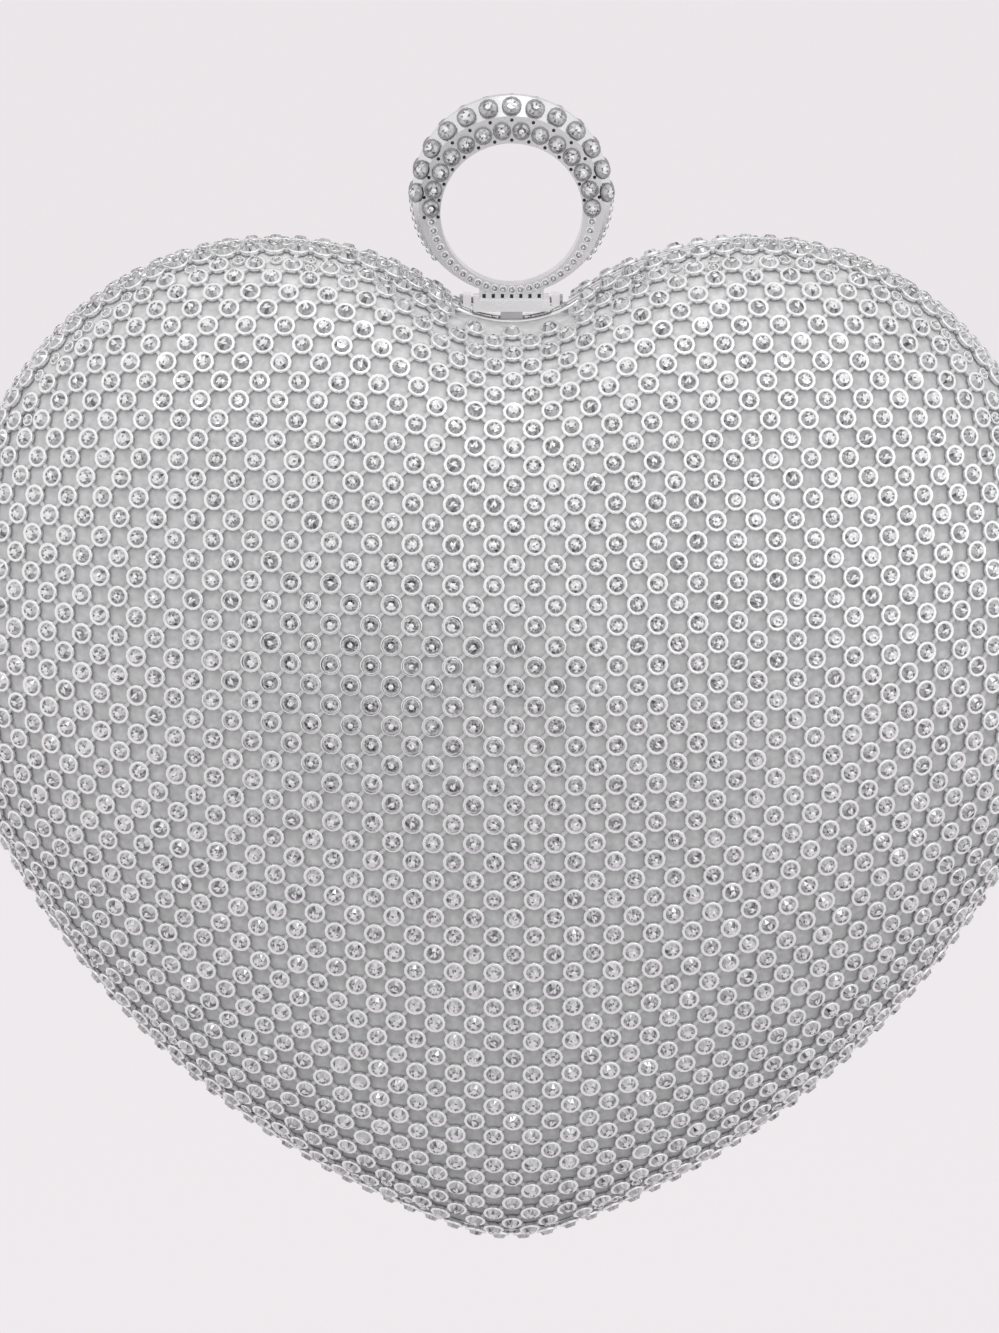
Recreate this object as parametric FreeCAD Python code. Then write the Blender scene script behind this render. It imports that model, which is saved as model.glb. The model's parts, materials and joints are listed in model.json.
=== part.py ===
import FreeCAD, Part
import math
import os

# Heart shaped evening purse: two crystal covered half shells on polished heart frames.
# The frames are hinged at the bottom tip and closed at the cleft by a hasp under a finger ring.
# Millimetres. The origin is the centre of the ring's hole, +Z is up and the front faces -Y.

Vector = FreeCAD.Vector
X_AXIS = Vector(1, 0, 0)
Y_AXIS = Vector(0, 1, 0)
Z_AXIS = Vector(0, 0, 1)
ORIGIN = Vector(0, 0, 0)

# Heart outline over the crystals: tangent arcs from the cleft round one lobe to the tip
cleft_radius = 16.0
cleft_turn = 35.0
lobe_radius = 45.0
lobe_turn = 85.0
shoulder_radius = 66.0
shoulder_turn = 64.5
flank_radius = 126.0
tip_radius = 23.0
cleft_above_apex = 51.0

# Domes: half depth over the crystals, the oval that their sections ease into, and the small flat crown
half_depth = 32.0
crown_half_width = 82.0
crown_rise = 60.0
crown_drop = 84.0
crown_share = 0.995
ease_power = 3
dome_level_count = 8
arc_point_count = 8

# Layers of each half, from the outside in
mesh_thickness = 1.2
shell_thickness = 1.6
lining_thickness = 0.8

# Stones of the crystal mesh: a square net over each dome, and a row along the frame
stone_base_radius = 1.6
stone_top_radius = 1.25
stone_height = 1.0
net_pitch = 4.08
net_rim_pitch = 3.8
border_pitch = 3.5
border_gap = 0.15
stone_gap = 0.1
adhesive_film = 0.03
net_rise_share = 0.5
border_clear_share = 0.72
meridian_step_count = 40
net_round_count = 150
room_round_count = 25
edge_pull_share = 0.2
diagonal_pull_share = 0.12
push_share = 0.4
near_border_share = 3.0
hole_reach = 3.05
hole_turn = 1.0
hole_row_count = 8

# Heart frames on both sides of the parting plane
parting_gap = 0.3
frame_depth = 2.4
frame_inset = 0.9
frame_width = 5.4
frame_edge_radius = 0.5

# Trim that hides the lining's edge on the frame
trim_width = 1.4
trim_height = 1.2

# Butt hinge let into the frames at the tip
hinge_length = 14.0
hinge_axis_rise = 1.3
hinge_pin_radius = 0.6
knuckle_radius = 1.5
middle_knuckle_share = 0.4
leaf_thickness = 0.7
leaf_height = 8.0
boss_margin = 1.5
hinge_rivet_spacing = 10.0
hinge_rivet_edge = 2.1

# Finger ring: an eccentric band, thick and bevelled at the top, thin at the bottom
ring_hole_radius = 10.4
ring_outer_radius = 14.5
ring_rise = 2.7
ring_top_width = 6.4
ring_bottom_width = 4.0
bevel_drop = 3.0
bevel_run = 1.9

# Stones set on the ring's faces and bevels
ring_stone_radius = 1.15
ring_stone_collar = 0.45
ring_stone_crown = 0.6
ring_stone_table_share = 0.5
face_stone_count = 14
bevel_stone_count = 13
stone_row_turn = 184.0

# Hasp under the ring: foot, plate and pivot on the back frame
foot_height = 0.9
foot_width = 9.4
foot_depth = 4.0
foot_rib_count = 7
rib_width = 0.5
rib_depth = 0.35
hasp_thickness = 1.5
hasp_width = 11.2
hasp_front_reach = 3.2
hasp_pivot_reach = 3.6
hasp_seat_gap = 1.2
hasp_knuckle_radius = 0.95
hasp_pin_radius = 0.5
hasp_pin_head_radius = 0.85
hasp_pin_head_height = 0.5
lug_thickness = 1.2
lug_radius = 1.2

# Catch spring on the front frame, whose nib snaps into a groove under the hasp
catch_width = 6.0
catch_depth = 1.8
catch_thickness = 0.35
nib_width = 3.2
nib_radius = 0.4
nib_engagement = 0.3

# Rivets and fits
rivet_radius = 0.6
rivet_head_radius = 1.0
rivet_head_height = 0.4
catch_rivet_radius = 0.4
catch_rivet_length = 1.8
catch_rivet_head_radius = 0.55
catch_rivet_head_height = 0.25
running_fit = 0.05
clearance = 0.3
pocket_clearance = 0.7
cut_overrun = 1.0

# Places that follow from the sizes
half_gap = parting_gap / 2
ring_bottom = ring_rise - ring_outer_radius
ring_top = ring_rise + ring_outer_radius
hasp_top = ring_bottom - foot_height
hasp_bottom = hasp_top - hasp_thickness
hasp_middle = hasp_bottom + hasp_thickness / 2
frame_cleft = hasp_bottom - hasp_seat_gap
apex_height = frame_cleft + frame_inset - cleft_above_apex
catch_middle = -(half_gap + frame_depth) / 2
catch_floor = frame_cleft - catch_thickness


def direction(degrees):
    """Unit vector in the XZ plane at an angle from +X towards +Z."""
    angle = math.radians(degrees)
    return Vector(math.cos(angle), 0, math.sin(angle))


def heart_arcs():
    """Arcs of the right half outline about the apex: centre, radius, two angles and the inset's sign."""
    cleft_centre = Vector(0, 0, cleft_above_apex + cleft_radius)
    cleft_end = cleft_turn - 90
    lobe_centre = cleft_centre + direction(cleft_end) * (cleft_radius + lobe_radius)
    lobe_start = 90 + cleft_turn
    lobe_end = lobe_start - lobe_turn
    shoulder_centre = lobe_centre + direction(lobe_end) * (lobe_radius - shoulder_radius)
    shoulder_end = lobe_end - shoulder_turn
    flank_centre = shoulder_centre + direction(shoulder_end) * (shoulder_radius - flank_radius)
    drop = math.sqrt((flank_radius - tip_radius) ** 2 - flank_centre.x ** 2)
    tip_centre = Vector(0, 0, flank_centre.z - drop)
    to_tip = tip_centre - flank_centre
    flank_end = math.degrees(math.atan2(to_tip.z, to_tip.x))
    return [
        (cleft_centre, cleft_radius, -90, cleft_end, 1),
        (lobe_centre, lobe_radius, lobe_start, lobe_end, -1),
        (shoulder_centre, shoulder_radius, lobe_end, shoulder_end, -1),
        (flank_centre, flank_radius, shoulder_end, flank_end, -1),
        (tip_centre, tip_radius, flank_end, -90, -1),
    ]


ARCS = heart_arcs()
TIP_CENTRE = ARCS[-1][0]
frame_tip = apex_height + TIP_CENTRE.z - tip_radius + frame_inset
hinge_height = frame_tip + hinge_axis_rise
leaf_bottom = hinge_height + knuckle_radius + clearance
leaf_top = leaf_bottom + leaf_height


def arc_point(arc, inset, share):
    """Point of an inset outline arc, at a share of the way along it, about the apex."""
    centre, radius, start, end, side = arc
    return centre + direction(start + (end - start) * share) * (radius + side * inset)


def mirrored(point):
    """Point on the other side of the middle plane."""
    return Vector(-point.x, point.y, point.z)


def heart_plate(inset, near, far):
    """Solid heart plate between two depths, inset from the crystals' outline."""
    place = Vector(0, near, apex_height)
    right = []
    left = []
    for arc in ARCS:
        points = [arc_point(arc, inset, share) for share in (0, 0.5, 1)]
        right.append(Part.Arc(*[point + place for point in points]).toShape())
        left.append(Part.Arc(*[mirrored(point) + place for point in reversed(points)]).toShape())
    face = Part.Face(Part.Wire(right + left[::-1]))
    return face.extrude(Vector(0, far - near, 0))


def outline_points(inset):
    """Points round the whole inset outline about the apex, from the cleft down the right side."""
    right = []
    for arc in ARCS:
        for step in range(arc_point_count):
            right.append(arc_point(arc, inset, step / arc_point_count))
    tip = arc_point(ARCS[-1], inset, 1)
    left = [mirrored(point) for point in reversed(right[1:])]
    return right + [tip] + left


def crown_point(inset, toward):
    """Point of the crown's oval in the direction of another point, about the apex."""
    half_width = crown_half_width - inset
    if toward.z > 0:
        half_height = crown_rise - inset
    else:
        half_height = crown_drop - inset
    return toward * (1 / math.hypot(toward.x / half_width, toward.z / half_height))


def dome_section(inset, angle, knots):
    """Outline of a dome at an angle up its elliptic profile, eased from the heart into the crown's oval."""
    depth = half_depth - inset
    scale = math.cos(angle)
    ease_share = math.sin(angle) ** ease_power
    place = Vector(0, -depth * math.sin(angle), apex_height)
    points = []
    for rim in outline_points(inset):
        eased = rim * (1 - ease_share) + crown_point(inset, rim) * ease_share
        points.append(eased * scale + place)
    curve = Part.BSplineCurve()
    curve.interpolate(Points=points, Parameters=knots, PeriodicFlag=True)
    return Part.Wire(curve.toShape())


def dome(inset):
    """Solid half heart at the front, from the frame's outer face to its crown."""
    rim = outline_points(inset)
    knots = [0.0]
    for near, far in zip(rim, rim[1:] + rim[:1]):
        knots.append(knots[-1] + (far - near).Length)
    first = math.asin(frame_depth / (half_depth - inset))
    last = math.asin(crown_share)
    sections = []
    for level in range(dome_level_count):
        angle = first + (last - first) * level / (dome_level_count - 1)
        sections.append(dome_section(inset, angle, knots))
    return Part.makeLoft(sections, True, False)


def box(x_range, y_range, z_range):
    """Box between two limits along each axis."""
    low = Vector(min(x_range), min(y_range), min(z_range))
    high = Vector(max(x_range), max(y_range), max(z_range))
    size = high - low
    return Part.makeBox(size.x, size.y, size.z, low)


def rod(radius, x_range, y, z):
    """Cylinder along X."""
    return Part.makeCylinder(radius, x_range[1] - x_range[0], Vector(x_range[0], y, z), X_AXIS)


def to_back(shape):
    """Copy of a front piece, mirrored to the back half."""
    return shape.mirror(ORIGIN, Y_AXIS)


def latch_pocket():
    """Room that the crystals and shells leave around the hasp and its lugs."""
    half_width = hasp_width / 2 + clearance + lug_thickness + hasp_pin_head_height + pocket_clearance
    reach = hasp_pivot_reach + lug_radius + pocket_clearance
    floor = hasp_bottom - pocket_clearance
    return box((-half_width, half_width), (-reach, reach), (floor, ring_bottom + ring_hole_radius))


def half_layers():
    """Outside of the front shell, its shell and lining, and the space inside the lining."""
    shell_outside = dome(mesh_thickness)
    lining_outside = dome(mesh_thickness + shell_thickness)
    inside = dome(mesh_thickness + shell_thickness + lining_thickness)
    shell = shell_outside.cut(lining_outside).cut(latch_pocket())
    lining = lining_outside.cut(inside)
    return shell_outside, shell, lining, inside


def arc_limits(inset):
    """Inset outline arcs of the right half, each with the bearing at its end."""
    limits = []
    for arc in ARCS:
        centre, radius, start, end, side = arc
        last = arc_point(arc, inset, 1)
        limits.append((centre, radius + side * inset, side, math.atan2(last.z, last.x)))
    return limits


NET_ARCS = arc_limits(mesh_thickness)
net_depth = half_depth - mesh_thickness


def net_reach(x, z, ease_share):
    """Reach of the shell's section with an easing share, from the apex through a point."""
    run = math.hypot(x, z)
    across = abs(x) / run
    up = z / run
    bearing = math.atan2(up, across)
    for centre, radius, side, limit in NET_ARCS:
        if bearing >= limit:
            break
    along = centre.x * across + centre.z * up
    half_chord = math.sqrt(along ** 2 - centre.x ** 2 - centre.z ** 2 + radius ** 2)
    rim = along - side * half_chord
    half_height = (crown_rise if up > 0 else crown_drop) - mesh_thickness
    crown = 1 / math.hypot(across / (crown_half_width - mesh_thickness), up / half_height)
    return rim + (crown - rim) * ease_share


def net_level(x, y, z):
    """1 on the shell's outside about the apex, less inside it."""
    ease_share = min(abs(y) / net_depth, 1) ** ease_power
    return (math.hypot(x, z) / net_reach(x, z, ease_share)) ** 2 + (y / net_depth) ** 2


def net_slope(point):
    """Level at a point and its gradient."""
    x, y, z = point
    step = running_fit
    level = net_level(x, y, z)
    return level, (
        (net_level(x + step, y, z) - net_level(x - step, y, z)) / (2 * step),
        (net_level(x, y + step, z) - level) / step,
        (net_level(x, y, z + step) - level) / step,
    )


def settled(point):
    """Point moved onto the shell's outside."""
    level, slope = net_slope(point)
    pull = (level - 1) / sum(part ** 2 for part in slope)
    return [place - part * pull for place, part in zip(point, slope)]


def dome_point(across, up, angle):
    """Point of the shell's outside in a direction, at an angle up its profile."""
    run = net_reach(across, up, math.sin(angle) ** ease_power) * math.cos(angle)
    return [run * across, -net_depth * math.sin(angle), run * up]


def along_meridian(x, z):
    """Point on the shell as far from its crown as a point of the flat net, or nothing past the frame."""
    distance = math.hypot(x, z)
    first = math.asin(frame_depth / net_depth)
    place = [0, -net_depth, 0]
    gone = 0
    for step in range(1, meridian_step_count + 1):
        angle = math.pi / 2 - (math.pi / 2 - first) * step / meridian_step_count
        following = dome_point(x / distance, z / distance, angle)
        length = math.dist(place, following)
        if gone + length > distance:
            share = (distance - gone) / length
            return [near + (far - near) * share for near, far in zip(place, following)]
        gone += length
        place = following
    return None


def pull_pairs(places, pairs, stretch, pull_share, moves):
    """Moves that bring the stones of each pair towards their pitch."""
    for one, other in pairs:
        a = places[one]
        b = places[other]
        rim_share = 1 - ((a[1] + b[1]) / (2 * net_depth)) ** 2
        wanted = stretch * (net_pitch + (net_rim_pitch - net_pitch) * rim_share)
        pull = pull_share * (1 - wanted / math.dist(a, b))
        for axis in range(3):
            move = (b[axis] - a[axis]) * pull
            moves[one][axis] += move
            moves[other][axis] -= move


def net_places():
    """Places of a square net of stones that is eased over the shell."""
    half_step = net_pitch / math.sqrt(2)
    reach_count = int((crown_half_width + half_depth) / half_step)
    index = {}
    places = []
    for i in range(-reach_count, reach_count + 1):
        for j in range(-reach_count, reach_count + 1):
            x = (i - j) * half_step
            z = (i + j + net_rise_share) * half_step
            place = along_meridian(x, z)
            if place:
                index[i, j] = len(places)
                places.append(place)
    edges = neighbours(index, ((1, 0), (0, 1)))
    diagonals = neighbours(index, ((1, 1), (1, -1)))
    for turn in range(net_round_count):
        moves = [[0, 0, 0] for place in places]
        pull_pairs(places, edges, 1, edge_pull_share, moves)
        pull_pairs(places, diagonals, math.sqrt(2), diagonal_pull_share, moves)
        places = [settled([a + b for a, b in zip(place, move)]) for place, move in zip(places, moves)]
    return places


def neighbours(index, steps):
    """Pairs of stones that lie some steps apart in the net."""
    pairs = []
    for (i, j), one in index.items():
        for across, up in steps:
            if (i + across, j + up) in index:
                pairs.append((one, index[i + across, j + up]))
    return pairs


def border_angle():
    """Angle up the dome's profile of the row of stones along the frame."""
    return math.asin((frame_depth + stone_base_radius + border_gap) / net_depth)


def border_places():
    """Places of the row of stones along the frame, evenly from the cleft round to it again."""
    angle = border_angle()
    line = []
    for rim in outline_points(mesh_thickness):
        reach = math.hypot(rim.x, rim.z)
        line.append(Vector(*dome_point(rim.x / reach, rim.z / reach, angle)))
    curve = Part.BSplineCurve()
    curve.interpolate(Points=line, PeriodicFlag=True)
    count = round(curve.length() / border_pitch)
    edge = curve.toShape()
    return [list(point) for point in edge.discretize(Number=2 * count + 1)[1::2]]


def apart(places, border):
    """Net stones eased away from the border row and from each other, so that none touch."""
    least = 2 * stone_base_radius + stone_gap
    reach = near_border_share * least
    near = [place for place in places if min(math.dist(place, other) for other in border) < reach]
    far = [place for place in places if place not in near]
    for turn in range(room_round_count):
        eased = []
        for place in near:
            move = [0, 0, 0]
            for other in near + border:
                span = math.dist(place, other)
                if 0 < span < least:
                    push = push_share * (least / span - 1)
                    move = [a + (b - c) * push for a, b, c in zip(move, place, other)]
            eased.append(settled([a + b for a, b in zip(place, move)]))
        near = eased
    return far + near


def fillers(places):
    """Stones for the wider holes that are left along the border row."""
    found = []
    first = border_angle()
    reach = near_border_share * border_pitch / net_depth
    deepest = -net_depth * math.sin(first + 2 * reach)
    near = [place for place in places if place[1] > deepest]
    for row in range(hole_row_count):
        angle = first + reach * (row + 1) / hole_row_count
        for step in range(round(360 / hole_turn)):
            toward = direction(step * hole_turn)
            place = dome_point(toward.x, toward.z, angle)
            if min(math.dist(place, other) for other in near + found) > hole_reach:
                found.append(place)
    return found


def stone_places():
    """Places of all stones of the front half about the apex."""
    border = border_places()
    edge = border[0][1]
    inner = []
    for place in net_places():
        gap = min(math.dist(place, other) for other in border)
        if place[1] < edge and gap > border_clear_share * border_pitch:
            inner.append(place)
    inner = apart(inner, border)
    return apart(inner + fillers(inner + border), border) + border


def seat(place, surface):
    """Foot and normal of a stone glued on the shell, raised where the shell is hollow under it."""
    middle = Vector(0, 0, apex_height)
    crown = -net_depth * crown_share
    if place[1] < crown:
        return Vector(place[0], crown - adhesive_film, place[2]) + middle, -Y_AXIS
    u, v = surface.parameter(Vector(*place) + middle)
    foot = surface.value(u, v)
    normal = surface.normal(u, v)
    if normal.dot(Vector(*net_slope(place)[1])) < 0:
        normal = -normal
    first = normal.cross(Y_AXIS).normalize() * stone_base_radius
    second = normal.cross(first)
    hollow = 0
    for corner in (first, -first, second, -second):
        level, slope = net_slope(list(foot + corner - middle))
        hollow = max(hollow, (1 - level) / math.hypot(*slope))
    return foot + normal * (hollow + adhesive_film), normal


def crystal_mesh_piece(shell_outside):
    """Stones of the front half in their cups, clear of the room around the hasp."""
    surface = max(shell_outside.Faces, key=lambda face: face.Area).Surface
    room = latch_pocket().BoundBox
    stones = []
    for place in stone_places():
        foot, normal = seat(place, surface)
        stone = Part.makeCone(stone_base_radius, stone_top_radius, stone_height, foot, normal)
        if not room.intersect(stone.BoundBox):
            stones.append(stone)
    return Part.makeCompound(stones)


def lining_trim(inside):
    """Narrow trim on the frame, along the lining's edge."""
    outer = mesh_thickness + shell_thickness + lining_thickness
    top = -frame_depth - trim_height
    ring = heart_plate(outer, -frame_depth, top)
    opening = heart_plate(outer + trim_width, -frame_depth + cut_overrun, top - cut_overrun)
    return ring.cut(opening).common(inside)


def hinge_rivet_places():
    """Places of the two hinge rivets, as X and Z."""
    height = leaf_top - hinge_rivet_edge
    return [(side * hinge_rivet_spacing / 2, height) for side in (-1, 1)]


def hinge_room():
    """Room in the frames for the knuckles and the let in leaves."""
    end = hinge_length / 2
    reach = half_gap + leaf_thickness
    room = rod(knuckle_radius + clearance, (-end - clearance, end + clearance), 0, hinge_height)
    return room.fuse(box((-end, end), (-reach, reach), (hinge_height, leaf_top)))


def plain_frame():
    """Front heart frame with rounded outer edges, hinge boss, hinge room and hasp seat."""
    outline = heart_plate(frame_inset, -half_gap, -frame_depth)
    long_edges = [edge for edge in outline.Edges if abs(edge.BoundBox.YLength) < running_fit]
    rounded = outline.makeFillet(frame_edge_radius, long_edges)
    inner_inset = frame_inset + frame_width
    opening = heart_plate(inner_inset, cut_overrun, -frame_depth - cut_overrun)
    half_boss = hinge_length / 2 + boss_margin
    boss_top = leaf_top + boss_margin
    boss = box((-half_boss, half_boss), (-half_gap, -frame_depth), (frame_tip, boss_top))
    frame = rounded.cut(opening.cut(boss))
    seat_half = hasp_width / 2 + clearance
    seat = box((-seat_half, seat_half), (-hasp_front_reach, hasp_front_reach),
               (hasp_bottom - clearance, ring_bottom))
    frame = frame.cut(seat).cut(hinge_room())
    for x, z in hinge_rivet_places():
        frame = frame.cut(rivet_hole(x, z))
    return frame


def rivet_hole(x, z):
    """Hole for a hinge rivet, along Y through both halves."""
    reach = frame_depth + cut_overrun
    return Part.makeCylinder(rivet_radius, 2 * reach, Vector(x, -reach, z), Y_AXIS)


def hinge_rivets():
    """Two rivets through the front leaf and frame, with heads inside the case."""
    rivets = []
    for x, z in hinge_rivet_places():
        shank = Part.makeCylinder(rivet_radius, frame_depth - half_gap, Vector(x, -frame_depth, z), Y_AXIS)
        base = Vector(x, -frame_depth - rivet_head_height, z)
        head = Part.makeCylinder(rivet_head_radius, rivet_head_height, base, Y_AXIS)
        rivets.append(shank.fuse(head).removeSplitter())
    return Part.makeCompound(rivets)


def hinge_leaf(knuckle_spans, pin_hole_radius):
    """Front hinge leaf: a let in plate with knuckles over the given spans of X."""
    end = hinge_length / 2
    near = -half_gap
    far = -half_gap - leaf_thickness
    leaf = box((-end, end), (near, far), (leaf_bottom, leaf_top))
    for span in knuckle_spans:
        bridge = box(span, (near, far), (hinge_height, leaf_bottom))
        leaf = leaf.fuse(rod(knuckle_radius, span, 0, hinge_height)).fuse(bridge)
    leaf = leaf.cut(rod(pin_hole_radius, (-end - cut_overrun, end + cut_overrun), 0, hinge_height))
    for x, z in hinge_rivet_places():
        leaf = leaf.cut(rivet_hole(x, z))
    return leaf.removeSplitter()


def hinge_pieces():
    """Front leaf with two outer knuckles, back leaf with the middle one, and the pin."""
    end = hinge_length / 2
    middle = hinge_length * middle_knuckle_share / 2
    outer_spans = [(-end, -middle - clearance), (middle + clearance, end)]
    front_leaf = hinge_leaf(outer_spans, hinge_pin_radius + running_fit)
    back_leaf = to_back(hinge_leaf([(-middle, middle)], hinge_pin_radius))
    pin = rod(hinge_pin_radius, (-end, end), 0, hinge_height)
    return front_leaf, back_leaf, pin


def hasp_lugs():
    """Two lugs cast on the back frame for the hasp's pin."""
    lugs = []
    inner = hasp_width / 2 + clearance
    for side in (-1, 1):
        span = sorted((side * inner, side * (inner + lug_thickness)))
        root = box(span, (half_gap, frame_depth), (frame_cleft, hasp_middle + lug_radius))
        arm = box(span, (frame_depth, hasp_pivot_reach), (hasp_middle - lug_radius, hasp_middle + lug_radius))
        eye = rod(lug_radius, span, hasp_pivot_reach, hasp_middle)
        lugs.append(root.fuse(arm).fuse(eye))
    return lugs


def catch_recess():
    """Flat recess on the front frame's edge for the catch spring."""
    half = catch_width / 2
    depth = (catch_middle - catch_depth / 2, catch_middle + catch_depth / 2)
    return box((-half, half), depth, (catch_floor, hasp_bottom))


def front_frame_piece():
    """Front frame with the recess and the rivet holes for the catch spring."""
    frame = plain_frame().cut(catch_recess())
    for x in catch_rivet_places():
        top = Vector(x, catch_middle, catch_floor)
        hole = Part.makeCylinder(catch_rivet_radius, catch_rivet_length, top, -Z_AXIS)
        frame = frame.cut(hole)
    return frame


def back_frame_piece():
    """Back frame with the hasp's lugs."""
    frame = to_back(plain_frame())
    for lug in hasp_lugs():
        frame = frame.fuse(lug)
    span = hasp_width / 2 + clearance + lug_thickness + cut_overrun
    return frame.cut(rod(hasp_pin_radius, (-span, span), hasp_pivot_reach, hasp_middle)).removeSplitter()


def catch_rivet_places():
    """X of the two catch rivets, between the nib and the strip's ends."""
    place = (nib_width + catch_width) / 4
    return (-place, place)


def catch_pieces():
    """Catch spring with its raised nib, and its two rivets."""
    half = catch_width / 2
    top = catch_floor + catch_thickness
    depth = (catch_middle - catch_depth / 2, catch_middle + catch_depth / 2)
    half_nib = nib_width / 2
    nib = (catch_middle - nib_radius, catch_middle + nib_radius)
    crest = hasp_bottom + nib_engagement - nib_radius
    spring = box((-half, half), depth, (catch_floor, top))
    spring = spring.fuse(box((-half_nib, half_nib), nib, (catch_floor, crest)))
    spring = spring.fuse(rod(nib_radius, (-half_nib, half_nib), catch_middle, crest))
    rivets = []
    for x in catch_rivet_places():
        foot = Vector(x, catch_middle, catch_floor - catch_rivet_length)
        shank = Part.makeCylinder(catch_rivet_radius, catch_rivet_length + catch_thickness, foot, Z_AXIS)
        seat = Vector(x, catch_middle, top)
        head = Part.makeCylinder(catch_rivet_head_radius, catch_rivet_head_height, seat, Z_AXIS)
        spring = spring.cut(shank)
        rivets.append(shank.fuse(head).removeSplitter())
    return spring.removeSplitter(), Part.makeCompound(rivets)


def hasp_plate_piece():
    """Hasp plate with its pin knuckle at the back and the nib's groove underneath."""
    half = hasp_width / 2
    plate = box((-half, half), (-hasp_front_reach, hasp_pivot_reach), (hasp_bottom, hasp_top))
    plate = plate.fuse(rod(hasp_knuckle_radius, (-half, half), hasp_pivot_reach, hasp_middle))
    ends = (-half - cut_overrun, half + cut_overrun)
    plate = plate.cut(rod(hasp_pin_radius + running_fit, ends, hasp_pivot_reach, hasp_middle))
    half_groove = nib_width / 2 + clearance
    groove_reach = nib_radius + clearance
    groove_depth = (catch_middle - groove_reach, catch_middle + groove_reach)
    groove_top = hasp_bottom + nib_engagement + clearance
    groove = box((-half_groove, half_groove), groove_depth, (hasp_bottom - cut_overrun, groove_top))
    return plate.cut(groove).removeSplitter()


def hasp_pin_piece():
    """Hasp pin, headed outside both lugs."""
    end = hasp_width / 2 + clearance + lug_thickness
    pin = rod(hasp_pin_radius, (-end, end), hasp_pivot_reach, hasp_middle)
    for span in ((-end - hasp_pin_head_height, -end), (end, end + hasp_pin_head_height)):
        pin = pin.fuse(rod(hasp_pin_head_radius, span, hasp_pivot_reach, hasp_middle))
    return pin.removeSplitter()


def ring_foot_piece():
    """Ribbed saddle that joins the ring to the hasp plate."""
    half = foot_width / 2
    face = foot_depth / 2
    foot = box((-half, half), (-face, face), (hasp_top, ring_bottom + foot_height))
    band = Part.makeCylinder(ring_outer_radius, 2 * foot_depth, Vector(0, -foot_depth, ring_rise), Y_AXIS)
    foot = foot.cut(band)
    pitch = foot_width / foot_rib_count
    for rib in range(foot_rib_count):
        x = -half + pitch * (rib + 0.5)
        span = (x - rib_width / 2, x + rib_width / 2)
        for side in (-1, 1):
            depth = (side * (face - rib_depth), side * foot_depth)
            foot = foot.cut(box(span, depth, (hasp_top + rib_depth, ring_bottom + half)))
    return foot


def ring_circle(radius, height, y):
    """Circle round the ring's eccentric axis."""
    return Part.Wire(Part.makeCircle(radius, Vector(0, y, height), Y_AXIS))


def ring_half_width(z):
    """Half the band's width at a height."""
    share = (z - ring_bottom) / (ring_top - ring_bottom)
    return (ring_bottom_width + (ring_top_width - ring_bottom_width) * share) / 2


def ring_section(run):
    """Outer circle of the band at a run along the bevel: radius and centre height."""
    drop = bevel_drop * run / bevel_run
    return ring_outer_radius - drop / 2, ring_rise - drop / 2


def finger_ring_piece():
    """Eccentric band with bevelled edges, tapering towards the bottom, and a round finger hole."""
    side = ring_top_width / 2
    crest = side - bevel_run
    face_radius, face_height = ring_section(bevel_run)
    circles = [
        ring_circle(face_radius, face_height, -side),
        ring_circle(ring_outer_radius, ring_rise, -crest),
        ring_circle(ring_outer_radius, ring_rise, crest),
        ring_circle(face_radius, face_height, side),
    ]
    band = Part.makeLoft(circles, True, True)
    start = -ring_outer_radius - cut_overrun
    low = ring_bottom - cut_overrun
    high = ring_top + cut_overrun
    outline = [
        Vector(start, -ring_half_width(low), low),
        Vector(start, ring_half_width(low), low),
        Vector(start, ring_half_width(high), high),
        Vector(start, -ring_half_width(high), high),
    ]
    taper = Part.Face(Part.makePolygon(outline + outline[:1])).extrude(Vector(-2 * start, 0, 0))
    bore = Part.makeCylinder(ring_hole_radius, 2 * ring_top_width, Vector(0, -ring_top_width, 0), Y_AXIS)
    return band.common(taper).cut(bore)


def outer_reach(run, angle):
    """Point of the band's outer surface in the XZ plane, at a run along the bevel and an angle."""
    radius, height = ring_section(run)
    return direction(angle) * radius + Vector(0, 0, height)


def ring_stone(place, normal):
    """Cut stone in its collar, standing on a point along a normal."""
    collar = Part.makeCylinder(ring_stone_radius, ring_stone_collar, place, normal)
    table = ring_stone_radius * ring_stone_table_share
    crown_base = place + normal * ring_stone_collar
    crown = Part.makeCone(ring_stone_radius, table, ring_stone_crown, crown_base, normal)
    return collar.fuse(crown)


def row_angles(count, turn):
    """Evenly spaced angles over the top of the ring."""
    return [90 - turn / 2 + turn * (index + 0.5) / count for index in range(count)]


def ring_stones_piece():
    """Rows of stones on both faces and both bevels of the ring."""
    stones = []
    rise_per_height = (ring_top_width - ring_bottom_width) / (ring_top - ring_bottom) / 2
    for side in (-1, 1):
        face_normal = Vector(0, side, -rise_per_height)
        face_normal.normalize()
        for angle in row_angles(face_stone_count, stone_row_turn):
            rim = outer_reach(bevel_run, angle).Length
            spot = direction(angle) * ((ring_hole_radius + rim) / 2)
            place = Vector(spot.x, side * ring_half_width(spot.z), spot.z)
            stones.append(ring_stone(place, face_normal))
        for angle in row_angles(bevel_stone_count, stone_row_turn):
            upper = outer_reach(0, angle) + Y_AXIS * (side * (ring_top_width / 2 - bevel_run))
            lower = outer_reach(bevel_run, angle) + Y_AXIS * (side * ring_top_width / 2)
            along = direction(angle + 90)
            normal = (lower - upper).cross(along) * side
            normal.normalize()
            if normal.dot(direction(angle)) < 0:
                normal = normal * -1
            stones.append(ring_stone((upper + lower) * 0.5, normal))
    return Part.makeCompound(stones)


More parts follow.
